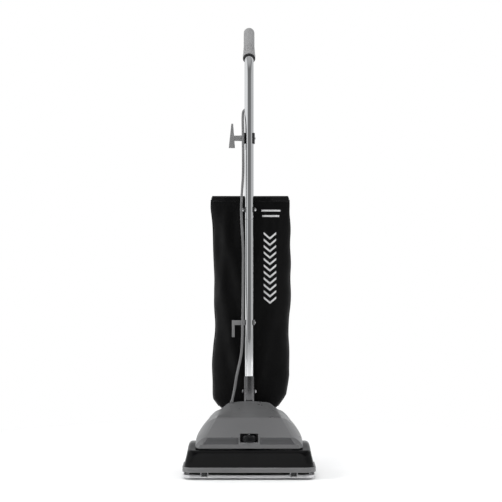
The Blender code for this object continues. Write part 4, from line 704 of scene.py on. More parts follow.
def smooth_step(t: float) -> float:
    """Eases from 0 to 1."""
    t = min(1.0, max(0.0, t))
    return t * t * (3 - 2 * t)


# ---- studio ----
@dataclass
class Studio:
    """Camera, lights and a pale floor."""

    distance: float = 3.70
    eye_height: float = 0.58
    lens: float = 104.84
    shift_right: float = 0.0038
    floor_radius: float = 14.0
    floor_fade: tuple[float, float] = (0.35, 1.1)
    # axis, where each bright side starts and ends, and its levels
    reflected: tuple[tuple[str, float, float, float, float], ...] = (
        ("X", -0.45, -0.72, 0.20, 0.95), ("X", 0.62, 0.86, 0.20, 0.60), ("Y", 0.05, 0.5, 0.20, 0.75),
        ("Z", 0.60, 0.98, 0.20, 0.50),
    )

    def build(self) -> None:
        """Makes the camera, the lights, the world and the floor."""
        bpy.context.scene.view_settings.view_transform = "Standard"
        self._camera()
        self._lights()
        self._world()
        self._floor()

    def _camera(self) -> None:
        """A level camera straight in front."""
        data = bpy.data.cameras.new("studio_camera")
        data.sensor_width = 36.0
        data.lens = self.lens
        data.shift_x = self.shift_right
        data.clip_end = 60.0
        camera = placed("studio_camera", data)
        camera.location = (0.0, FRONT - self.distance, self.eye_height)
        camera.rotation_euler = (pi / 2, 0, 0)
        bpy.context.scene.camera = camera

    def _lights(self) -> None:
        """Soft boxes to the left, right and above, and a weaker pair behind."""
        boxes = (
            ("left_box", (-2.4, -0.9, 1.3), 1.2, 2.4, 34.0),
            ("right_box", (2.5, -0.6, 1.3), 0.9, 2.4, 22.0),
            ("top_box", (0.0, -0.6, 3.0), 2.4, 2.4, 46.0),
            ("front_fill", (-0.5, -4.4, 2.4), 1.8, 1.2, 24.0),
            ("back_left", (-1.8, 2.3, 1.6), 1.0, 1.8, 16.0),
            ("back_right", (1.8, 2.3, 1.6), 1.0, 1.8, 16.0),
        )
        for name, place, wide, tall, power in boxes:
            data = bpy.data.lights.new(name, "AREA")
            data.shape = "RECTANGLE"
            data.size = wide
            data.size_y = tall
            data.energy = power
            lamp = placed(name, data)
            lamp.location = place
            lamp.visible_glossy = False
            lamp.rotation_mode = "QUATERNION"
            lamp.rotation_quaternion = (Vector((0, 0, 0.5)) - Vector(place)).to_track_quat("-Z", "Y")

    def _world(self) -> None:
        """A pale surround to look at, and a soft studio of bright and darker sides to light by."""
        world = bpy.data.worlds.new("studio_world")
        bpy.context.scene.world = world
        world.use_nodes = True
        made = Nodes(world.node_tree)
        way = made.node("ShaderNodeSeparateXYZ")
        made.link(made.node("ShaderNodeTexCoord").outputs["Generated"], way.inputs[0])
        level = None
        for axis, start, end, low, high in self.reflected:
            side = made.node("ShaderNodeMapRange", interpolation_type="SMOOTHSTEP", From_Min=start,
                             From_Max=end,
                             To_Min=low, To_Max=high)
            made.link(way.outputs[axis], side.inputs["Value"])
            bright = side.outputs["Result"]
            level = made.maths("MAXIMUM", level, bright) if level else bright
        lit = made.tree.nodes["Background"]
        lit.inputs["Color"].default_value = (0.98, 0.99, 1.0, 1.0)
        made.link(level, lit.inputs["Strength"])
        pale = made.node("ShaderNodeBackground", Color=(1.0, 1.0, 1.0, 1.0), Strength=1.0)
        seen = made.node("ShaderNodeLightPath").outputs["Is Camera Ray"]
        made.shared(seen, lit.outputs["Background"], pale.outputs["Background"], "World Output")

    def _floor(self) -> None:
        """A wide pale disc, just under the wheels."""
        bm = bmesh.new()
        bmesh.ops.create_circle(bm, cap_ends=True, segments=96, radius=self.floor_radius)
        bmesh.ops.translate(bm, vec=(0, 0, -0.0004), verts=bm.verts[:])
        mesh = mesh_of("studio_floor", bm)
        made = Shader("pale_floor")
        tint = made.mixed(made.spread(made.noise(3.0), 0.0, 1.0), (0.86, 0.86, 0.86), (0.89, 0.89, 0.89))
        made.link(tint, made.shader.inputs["Base Color"])
        made.set(Roughness=0.9, Specular_IOR_Level=0.1)
        away = made.node("ShaderNodeVectorMath", operation="LENGTH")
        made.link(made.place, away.inputs[0])
        pale = made.node("ShaderNodeEmission", Strength=1.0)
        seen = made.node("ShaderNodeLightPath").outputs["Is Camera Ray"]
        far = made.spread(away.outputs["Value"], 0.0, 1.0, *self.floor_fade)
        made.shared(made.maths("MULTIPLY", far, seen), made.shader.outputs["BSDF"],
                    pale.outputs["Emission"],
                    "Material Output")
        mesh.materials.append(made.material)
        placed("studio_floor", mesh)


# ---- cord ----
@dataclass
class Cord:
    """Mains cord from the hood up the handle, down behind the bag and into a coil, with its plug."""

    radius: float = CORD_RADIUS
    coil_middle: Vector = fixed(0.0, FRONT + 0.705, 0.0)
    coil_radius: float = 0.0625
    rings: int = 5
    layers: int = 5
    coil_low: float = 0.0022
    turn_points: int = 22
    plug_turn: float = radians(96)
    plug_lift: float = 0.0082

    def hung_route(self) -> Row:
        """The route from the strain relief to the edge of the coil."""
        on_handle = (
            (-0.0395, 0.028, 0.115), (-0.0340, 0.030, 0.150), (-0.0215, 0.031, 0.210),
            (-0.0185, 0.031, 0.260),
            (-0.0180, 0.031, 0.2965), (-0.0172, 0.034, 0.340), (-0.0166, 0.040, 0.420),
            (-0.0166, 0.040, 0.500),
            (-0.0215, 0.036, 0.606), (-0.0168, 0.038, 0.700), (-0.0166, 0.038, 0.770),
            (-0.0172, 0.040, 0.830),
            (-0.0176, 0.048, 0.862), (-0.0160, 0.066, 0.882), (-0.0080, 0.086, 0.884), (0.0, 0.130, 0.820),
            (0.0, 0.152, 0.740), (0.0, 0.172, 0.640), (0.0, 0.192, 0.520), (0.0, 0.198, 0.400),
            (0.0, 0.198, 0.280), (0.0, 0.198, 0.160),
        )
        on_floor = (
            (0.000, FRONT + 0.445, 0.170), (0.004, FRONT + 0.470, 0.085), (0.020, FRONT + 0.515, 0.024),
            (0.050, FRONT + 0.575, 0.0055), (0.0775, FRONT + 0.650, 0.0050),
        )
        last = self.coil_radius + (self.rings / 2 + 0.5) * 2 * self.radius + 0.0008
        route = [RELIEF_AT + Vector((0, 0, 0.0175))]
        route += [HANDLE @ Vector(p) for p in on_handle]
        route += [Vector(p) for p in on_floor]
        route.append(Vector((last, self.coil_middle.y, 0.0050)))
        return smooth_line(route, 0.012)

    def _on_coil(self, out: float, turn: float, up: float) -> Vector:
        """A point at a radius, an angle and a height on the coil."""
        return self.coil_middle + Vector((out * cos(turn), out * sin(turn), up))

    def coiled_route(self) -> Row:
        """Ring after ring and layer on layer, each ring a cord's width from the last."""
        pitch = 2 * self.radius
        points = []
        for layer in range(self.layers):
            for ring in range(self.rings):
                at = ring if layer % 2 else self.rings - 1 - ring
                here = self.coil_radius + (at - (self.rings - 1) / 2) * pitch
                step = pitch if layer % 2 else -pitch
                last = ring == self.rings - 1
                first = layer == 0 and ring == 0
                for k in range(self.turn_points):
                    share = k / self.turn_points
                    leave = smooth_step((share - 0.84) / 0.16)
                    out = here + (0.0 if last else step * leave)
                    if first:
                        out += (pitch + 0.0008) * (1 - smooth_step(share / 0.16)) * 0.98
                    up = self.coil_low + self.radius + pitch * layer + (pitch * leave if last else 0.0)
                    points.append(self._on_coil(out, 2 * pi * share, up))
        return points

    def tail_route(self) -> Row:
        """From the top layer over the coil to the plug."""
        inner = self.coil_radius - (self.rings - 1) * self.radius
        low = self.coil_low + self.radius + 2 * self.radius * (self.layers - 1)
        points = []
        rise = self.plug_lift + self.radius + GAP
        for k in range(14):
            share = k / 13
            out = inner + (self.coil_radius - inner) * smooth_step(share / 0.75)
            points.append(self._on_coil(out, self.plug_turn * share, low + rise * smooth_step(share / 0.8)))
        return points

    def build(self) -> None:
        """Makes the cord, its plug, the tie and the strain relief."""
        route = self.hung_route()[:-1] + self.coiled_route() + self.tail_route()
        mesh = tube_mesh(route, self.radius, 3)
        cord = show_mesh("mains_cord", mesh, Finishes.CORD, None, ("power_cord", "cord_coil"), 60.0)
        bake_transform(cord)
        plug = self._plug()
        show_copy("coil_tape", "coil_tie", Finishes.TAPE, Part.BASE, 0.0004)
        self._relief()

    def _plug(self) -> bpy.types.Object:
        """A moulded plug with ribs, three pins and a short flexible sleeve."""
        out = Vector((cos(self.plug_turn), sin(self.plug_turn), 0))
        along = Vector((-sin(self.plug_turn), cos(self.plug_turn), 0))
        top = self.coil_low + 2 * self.radius * self.layers + self.plug_lift + GAP
        place = self.coil_middle + out * self.coil_radius + Vector((0, 0, top))
        axes = Matrix((out, along.cross(out), along)).transposed().to_4x4()
        matrix = shift(place) @ axes
        profile = [(0, 0), (0.0042, 0), (0.0048, 0.008), (0.0062, 0.012), (0.0075, 0.020), (0.0080, 0.034),
                   (0, 0.034)]
        body = spun(rounded(profile, 0.0012), 40)
        ribs = [moved(spun(rounded([(0.0035, 0), (0.0056, 0), (0.0056, 0.0012), (0.0035, 0.0012)], 0.0004),
                           40, True),
                      shift((0, 0, 0.0012 + 0.0024 * k))) for k in range(3)]
        pins = [softened(block((x - 0.0007, -0.0030, 0.033), (x + 0.0007, 0.0030, 0.050)), 0.0004)
                for x in (-0.0045, 0.0045)]
        shape = joined(body, *ribs)
        pin_piece = show("plug_pins", moved(joined(*pins), matrix), Finishes.STEEL, Part.BASE)
        plug = show("mains_plug", moved(shape, matrix), Finishes.BLACK_RUBBER, Part.BASE, ("plug",))
        pin_piece.parent = plug
        pin_piece.matrix_parent_inverse = Matrix.Identity(4)
        return plug

    def _relief(self) -> None:
        """A tapered, ribbed rubber sleeve at the hood."""
        profile = [(CORD_RADIUS + 0.0001, 0.0225), (0.0044, 0.0225)]
        for k in range(6):
            low = 0.0185 - 0.0036 * k
            wide = 0.0046 + 0.00036 * k
            profile += [(wide, low + 0.0018), (wide, low), (wide - 0.0009, low - 0.0004),
                        (wide - 0.0009, low - 0.0014)]
        profile += [(0.0058, -0.0045), (0.0058, -0.006), (CORD_RADIUS + 0.0001, -0.006)]
        shape = moved(spun(rounded(profile, 0.0004, 2), 48, True), shift(RELIEF_AT))
        show("cord_relief", shape, Finishes.CORD, Part.BASE, ("strain_relief",))


# ---- handle ----
@dataclass
class HandleTubes:
    """Chrome tubes, the satin socket and the cross bolts."""

    joint: float = 0.580
    bend_start: float = 0.978
    bend_radius: float = 0.075
    lean: float = radians(46)
    grip_length: float = 0.150
    socket_radius: float = 0.0154
    socket_low: float = 0.0815
    socket_high: float = 0.150
    bolts: tuple[tuple[str, float, float], ...] = (("socket_bolt", 0.1085, 0.0154),
                                                   ("clip_bolt", 0.6065, 0.0155))

    def grip_point(self, along: float) -> Vector:
        """A point on the grip's axis, in the handle's own space."""
        y = TUBE_BEHIND + self.bend_radius * (1 - cos(self.lean)) + along * sin(self.lean)
        z = self.bend_start + self.bend_radius * sin(self.lean) + along * cos(self.lean)
        return Vector((0, y, z))

    def build(self) -> None:
        """Makes every piece of the tubes."""
        behind = shift((0, TUBE_BEHIND, 0))
        inner = TUBE_RADIUS - 0.0014
        end, neck = self.joint - 0.0004, inner - 0.0006
        low = rounded([(inner, 0.129), (TUBE_RADIUS, 0.129), (TUBE_RADIUS, end), (neck, end),
                       (neck, self.joint + 0.038)], 0.0006)
        show("lower_handle_tube", moved(spun(low, 96), HANDLE @ behind), Finishes.CHROME, Part.HANDLE,
             ("lower_tube",), 40)
        path = [Vector((0, TUBE_BEHIND, self.joint + 0.0002 + 0.0390 * k)) for k in range(11)]
        path += [Vector((0, TUBE_BEHIND + self.bend_radius * (1 - cos(a)), self.bend_start
                         + self.bend_radius * sin(a)))
                 for a in (self.lean * k / 24 for k in range(25))]
        path += [self.grip_point(0.02), self.grip_point(self.grip_length - 0.012)]
        upper = moved(tube(path, TUBE_RADIUS, 30), HANDLE)
        show("upper_handle_tube", upper, Finishes.CHROME, Part.HANDLE, ("upper_tube",), 40)
        self._socket(behind)
        for name, height, reach in self.bolts:
            self._bolt(name, height, reach)

    def _socket(self, behind: Matrix) -> None:
        """The socket tube with rolled ends."""
        r, low, high = self.socket_radius, self.socket_low, self.socket_high
        profile = [(r - 0.0022, low), (r, low), (r, high), (r - 0.0022, high)]
        bm = moved(spun(rounded(profile, 0.0010), 96), HANDLE @ behind)
        show("handle_socket_tube", bm, Finishes.SATIN, Part.HANDLE, ("handle_socket",), 40)

    def _bolt(self, name: str, height: float, reach: float) -> None:
        """A domed bolt head with a washer on one side and a hexagon nut on the other."""
        at = HANDLE @ shift((0, TUBE_BEHIND, height))
        lay = Matrix.Rotation(pi / 2, 4, "Y")
        head = spun(rounded([(0, reach + 0.0048), (0.0032, reach + 0.0046), (0.0054, reach + 0.0022),
                             (0.0054, reach + 0.0008),
                             (0, reach + 0.0008)], 0.0006), 48)
        washer = spun(rounded([(0.0030, reach + 0.0001), (0.0066, reach + 0.0001), (0.0066, reach + 0.0009),
                               (0.0030, reach + 0.0009)], 0.0003), 48, True)
        shank = spun([(0, -reach - 0.004), (0.0028, -reach - 0.004), (0.0028, reach + 0.001),
                      (0, reach + 0.001)], 24)
        nut = bmesh.new()
        bmesh.ops.create_cone(nut, cap_ends=True, segments=6, radius1=0.0056, radius2=0.0056, depth=0.0030)
        bmesh.ops.translate(nut, vec=(0, 0, -reach - 0.0018), verts=nut.verts[:])
        softened(nut, 0.0004)
        slot = block((-0.0004, -0.006, reach + 0.0038), (0.0004, 0.006, reach + 0.006))
        shape = joined(carved(head, slot), washer, shank, nut)
        show(f"{name}_set", moved(shape, at @ lay), Finishes.STEEL, Part.HANDLE, (name,), 30)


@dataclass
class Grip:
    """Moulded rubber hand grip with ridges, rings and a flared lower end."""

    radius: float = 0.0152
    flare: float = 0.0172
    length: float = 0.150

    def build(self, tubes: HandleTubes) -> None:
        """Makes the grip on the end of the bent tube.

        Args:
            tubes: The tubes that carry it.
        """
        inner = TUBE_RADIUS + 0.0001
        end = self.length
        dome = [(self.radius * cos(a), end - self.radius + self.radius * sin(a))
                for a in (radians(90 - 7.5 * k) for k in range(13))]
        profile = [(0, end), *dome[1:], (self.radius, 0.062)]
        for k in range(9):
            z = 0.058 - 0.0042 * k
            wide = self.radius + (self.flare - self.radius) * (0.060 - z) / 0.050
            profile += [(wide, z), (wide, z - 0.0028), (wide - 0.0004, z - 0.0031),
                        (wide - 0.0004, z - 0.0038)]
        profile += [(self.flare + 0.0003, 0.0165), (self.flare + 0.0003, 0.0010), (inner, 0.0010),
                    (inner, 0.020)]
        shape = spun(rounded(profile, 0.0005, 2), 96)
        lean = shift(tubes.grip_point(0)) @ Matrix.Rotation(-tubes.lean, 4, "X")
        show("rubber_hand_grip", moved(shape, HANDLE @ lean), Finishes.GRIP, Part.HANDLE, ("hand_grip",),
             45)
        # painted shade: a black ring at the grip's lower end darkens the end face, which lies in shade
        r = self.flare
        ring = [(inner, 0.0008), (inner, -0.0016), (r - 0.0012, -0.0016), (r - 0.0002, -0.0008),
                (r - 0.0002, 0.0008)]
        collar = moved(spun(rounded(ring, 0.0005), 96, True), HANDLE @ lean)
        show("grip_end_shade_ring", collar, Finishes.BLACK_RUBBER, Part.HANDLE, (), 45)


@dataclass
class CordHooks:
    """The fixed lower hook and the swivelling upper one, each on its clamp."""

    lower_at: float = 0.300
    upper_at: float = 0.805
    clip_at: float = 0.6065
    screws_at: tuple[float, float] = (0.2965, 0.8045)

    def build(self) -> None:
        """Makes the clamps, the hooks and their screws."""
        self._open_clamp("lower_hook", "lower_cord_hook", self.lower_at, Finishes.GREY_PLASTIC)
        self._open_clamp("upper_clamp", "upper_hook_clamp", self.upper_at, Finishes.BLACK_PLASTIC)
        show_copy("upper_hook", "upper_cord_hook", Finishes.GREY_PLASTIC, Part.HOOK, 0.0012, angle=28)
        self._open_clamp("bag_clip", "bag_hanger", self.clip_at, Finishes.SATIN, 0.0004)
        self._clamp_screws()
        show_copy("fork_arch", "handle_fork", Finishes.SATIN, Part.HANDLE, 0.0010, angle=28)

    def _open_clamp(self, name: str, node: str, height: float, finish: Finish,
                    width: float = 0.0006) -> None:
        """A clamp that is open over the front of the tube, as it snaps on from behind."""
        reach = TUBE_RADIUS - 0.0007
        mouth = block((-reach, 0.0, height - 0.08), (reach, TUBE_BEHIND - 0.004, height + 0.08))
        shape = carved(copied(node, 0.0), moved(mouth, HANDLE))
        show(name, softened(shape, width, 30), finish, Part.HANDLE, (node,), 28)

    def _clamp_screws(self) -> None:
        """A pan-head screw in the side of each clamp."""
        screws = []
        for height in self.screws_at:
            slot = block((-0.0003, -0.004, 0.0010), (0.0003, 0.004, 0.003))
            head = screw_head(0.0016, [(0.0024, 0.0014), (0.0030, 0.0004)], 0.0030, 32, slot)
            lay = HANDLE @ axis_matrix("X", (TUBE_RADIUS + 0.0042, TUBE_BEHIND + 0.001, height))
            screws.append(moved(head, lay))
        show("clamp_screws", joined(*screws), Finishes.STEEL, Part.HANDLE, (), 32)


# ---- bag ----
@dataclass
class DustBag:
    """Soft cloth bag that hangs behind the tube, with folds, a sewn top and a printed panel."""

    front: float = 0.0700
    # height up the handle, reach to the left, reach to the right, depth
    stations: tuple[tuple[float, float, float, float], ...] = (
        (0.0585, 0.034, 0.030, 0.034), (0.0605, 0.074, 0.071, 0.046), (0.0660, 0.0810, 0.0775, 0.050),
        (0.0875, 0.0975, 0.0935, 0.062), (0.1000, 0.0990, 0.1010, 0.068), (0.1530, 0.0995, 0.1090, 0.078),
        (0.2600, 0.0950, 0.1085, 0.094), (0.4000, 0.0970, 0.1150, 0.096), (0.5450, 0.1005, 0.1150, 0.066),
        (0.6150, 0.1050, 0.1120, 0.036), (0.6430, 0.1045, 0.1105, 0.012),
    )
    around: int = 132
    rows: int = 130
    cloth: float = 0.0012
    stitches: int = 44

    def at(self, height: float) -> Triple:
        """The reach to the left, to the right and the depth at a height up the handle."""
        table = self.stations
        for low, high in zip(table, table[1:]):
            if height <= high[0]:
                t = (height - low[0]) / (high[0] - low[0])
                if low[0] > 0.15:
                    t = 0.5 * t + 0.5 * smooth_step(t)
                return tuple(a + (b - a) * t for a, b in zip(low[1:], high[1:]))
        return table[-1][1:]

    def fold(self, x: float, z: float, rear: bool) -> float:
        """How far the cloth stands out, in metres, from soft folds and crumples."""
        lines = (
            (-0.085, 0.600, 0.010, 0.300, 0.017, 0.0062), (0.010, 0.300, 0.040, 0.140, 0.018, 0.0048),
            (-0.060, 0.620, -0.075, 0.380, 0.012, 0.0046), (-0.085, 0.420, -0.020, 0.120, 0.015, 0.0056),
            (0.080, 0.610, 0.062, 0.330, 0.013, 0.0044), (0.070, 0.340, 0.020, 0.110, 0.015, 0.0046),
            (0.045, 0.620, 0.030, 0.470, 0.010, 0.0025), (-0.020, 0.630, -0.030, 0.500, 0.010, 0.0032),
        )
        total = 0.0
        for x0, z0, x1, z1, wide, tall in lines:
            way = Vector((x1 - x0, z1 - z0))
            off = Vector(((x if not rear else -x) - x0, z - z0))
            share = off.dot(way) / way.length_squared
            side = (off.x * way.y - off.y * way.x) / way.length
            fade = smooth_step((share + 0.15) / 0.3) * smooth_step((1.15 - share) / 0.3)
            ridge = exp(-((side / wide) ** 2))
            total += tall * fade * (ridge - 0.45 * exp(-(((side - 1.6 * wide) / wide) ** 2)))
        spot = Vector((x * 11, (0.4 if rear else 0.0) * 9, z * 6))
        crumples = 0.0012 * noise.noise(spot * 3.1)
        return total + 0.0040 * noise.noise(spot) + crumples + 0.0004 * noise.noise(spot * 8)

    def skin(self, turn: float, height: float) -> Vector:
        """A point on the cloth, in the handle's own space."""
        low, high = self.stations[0][0], self.stations[-1][0]
        left, right, deep = self.at(height)
        calm = smooth_step((height - low - 0.03) / 0.08) * smooth_step((high - height) / 0.05)
        c, s = cos(turn), sin(turn)
        x = (right if c >= 0 else left) * abs(c) ** 0.50 * (1 if c >= 0 else -1)
        flat = abs(s) ** 0.80 * (1 if s >= 0 else -1)
        out = self.fold(x, height, s > 0) * calm
        wave = 0.0050 * noise.noise(Vector((0.7 if c > 0 else 5.3, 0.2, height * 13))) * c * abs(c) * calm
        return Vector((x + out * c * 0.25 + wave, self.front + deep / 2 * (1 + flat) * 0.97 + out * s,
                       height))

    def build(self) -> None:
        """Makes the shell, its hem, seams and print."""
        low, high = self.stations[0][0], self.stations[-1][0]
        rows = []
        for j in range(self.rows + 1):
            height = low + (high - low) * (j / self.rows) ** 1.12
            rows.append([HANDLE @ self.skin(2 * pi * k / self.around, height) for k in range(self.around)])
        bm = lofted(rows, ring=True, cap_start=True)
        print_on = bvhtree.BVHTree.FromBMesh(bm)
        shell = show("cloth_dust_bag", bm, Finishes.CLOTH, Part.HANDLE, ("dust_bag",), 60)
        walled(shell, self.cloth)
        self._seams()
        self._hem(high)
        self._print(print_on)

    def _seams(self) -> None:
        """A corded seam down each side."""
        for word, turn in (("left", pi), ("right", 0.0)):
            line = [HANDLE @ (self.skin(turn, 0.068 + 0.0047 * k) + Vector((0.0006 * cos(turn), 0, 0)))
                    for k in range(122)]
            show(f"{word}_side_seam", tube(line, 0.0013, 2), Finishes.TAPE, Part.HANDLE, (), 60)

    def _wave(self, x: float, z: float) -> float:
        """How far the hem waves at a place."""
        return 0.0016 * noise.noise(Vector((x * 20, 0.3, z * 20)))

    def _hem(self, high: float) -> None:
        """The sewn and folded top edge with two rows of stitches."""
        _, left, right, _ = self.stations[-1]
        band = slab([(-left + 0.0004, high - 0.012), (right - 0.0004, high - 0.012),
                     (right - 0.002, high + 0.004),
                     (-left + 0.002, high + 0.004)], self.front + 0.0003, self.front + 0.0130, "Y")
        bmesh.ops.subdivide_edges(band, edges=band.edges[:], cuts=7, use_grid_fill=True)
        softened(band, 0.0030, 40, 3)
        for v in band.verts:
            v.co.y += self._wave(v.co.x, v.co.z)
        show("bag_top_hem", moved(band, HANDLE), Finishes.TAPE, Part.HANDLE, (), 180)
        stitches = bmesh.new()
        for level in (high - 0.0105, high - 0.0005):
            for k in range(self.stitches):
                x = -left + 0.006 + (left + right - 0.012) * k / (self.stitches - 1)
                place = (x, self.front - 0.0009 + self._wave(x, level), level)
                bmesh.ops.create_cone(stitches, cap_ends=True, segments=6, radius1=0.00045, radius2=0.00045,
                                      depth=0.0030, matrix=axis_matrix("X", place))
        show("hem_stitches", moved(stitches, HANDLE), Finishes.BLACK_RUBBER, Part.HANDLE, (), 60)

    def _print(self, cloth: bvhtree.BVHTree) -> None:
        """Plain chevrons and two bars printed on the front, standing a hair off the cloth."""
        marks = bmesh.new()
        cells = [(0.060, 0.606 - 0.015 * k, 0.053 - 0.006 * k, 0.0050, 0.0) for k in range(2)]
        for k in range(11):
            for side in (-1, 1):
                cells.append((0.0575 + side * 0.0085, 0.536 - 0.0178 * k, 0.0172, 0.0062, side * 0.42))
        for x, z, wide, tall, skew in cells:
            made = bmesh.ops.create_grid(marks, x_segments=8, y_segments=3, size=0.5)["verts"]
            for v in made:
                u, w = v.co.x, v.co.y
                start = HANDLE @ Vector((x + u * wide, self.front - 0.08, z + w * tall
                                         + u * wide * skew * 2))
                way = HANDLE.to_3x3() @ Vector((0, 1, 0))
                v.co = cloth.ray_cast(start, way)[0] - way * 0.0004
        piece = show("bag_print", marks, Finishes.PRINT, Part.HANDLE, (), 60)
        walled(piece, 0.0002, 0.0)


@dataclass
class Neck:
    """Ribbed rubber sleeve from the exhaust collar up into the bag."""

    collar: Vector = fixed(0.0, FRONT + 0.3015, 0.0525)
    collar_turn: float = radians(36)
    radius: float = 0.0238

    def build(self) -> None:
        """Makes the sleeve and the clamp band at its foot."""
        end = HANDLE @ Vector((0.0030, 0.0890, 0.0640))
        heading = Vector((0, cos(self.collar_turn), sin(self.collar_turn)))
        start = self.collar + heading * 0.0006
        path = smooth_line([start, start + heading * 0.013, start.lerp(end, 0.55)
                            + Vector((0, 0.004, 0.001)), end], 0.00085)
        rows = []
        for k, place in enumerate(path):
            share = k / (len(path) - 1)
            way = (path[min(k + 1, len(path) - 1)] - path[max(k - 1, 0)]).normalized()
            up = way.cross(Vector((1, 0, 0)))
            rib = 0.0011 * cos(2 * pi * share * 9) * smooth_step(share / 0.15)
            foot = 0.0026 * (1 - smooth_step(share / 0.2))
            wide = self.radius - foot - 0.0070 * smooth_step((share - 0.75) / 0.25) + rib
            rows.append([place + (Vector((1, 0, 0)) * cos(a) + up * sin(a)) * wide for a in
                         (2 * pi * j / 56 for j in range(56))])
        sleeve = show("ribbed_neck", lofted(rows, ring=True), Finishes.BLACK_RUBBER, None, ("bag_neck",),
                      60)
        walled(sleeve, 0.0018)
        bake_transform(sleeve)
        r = self.radius - 0.0022
        band = spun(rounded([(r, 0.0030), (r + 0.0016, 0.0030), (r + 0.0016, 0.0085), (r, 0.0085)], 0.0005),
                    64, True)
        screw = moved(rod((0, 0, 0), 0.0021, 0.012, "X", 20, 0.0006), shift((-0.006, r + 0.0028, 0.0058)))
        lay = shift(start) @ Matrix.Rotation(self.collar_turn - pi / 2, 4, "X")
        show("neck_band", moved(joined(band, screw), lay), Finishes.STEEL, Part.BASE)


# ---- base ----
def u_path(half: float, front: float, rear: float, radius: float, steps: int = 14) -> list[tuple[Vector,
                                                                                                 Vector]]:
    """Points and outward directions round the front and both sides, seen from above."""
    line = [(Vector((half, rear, 0)), Vector((1, 0, 0))), (Vector((half, front + radius + 0.0005, 0)),
                                                           Vector((1, 0, 0)))]
    for middle, turn in ((half - radius, 0.0), (-half + radius, -pi / 2)):
        for k in range(steps + 1):
            a = turn - pi / 2 * k / steps
            out = Vector((cos(a), sin(a), 0))
            line.append((Vector((middle, front + radius, 0)) + out * radius, out))
    line += [(Vector((-half, front + radius + 0.0005, 0)), Vector((-1, 0, 0))), (Vector((-half, rear, 0)),
                                                                                 Vector((-1, 0, 0)))]
    return line


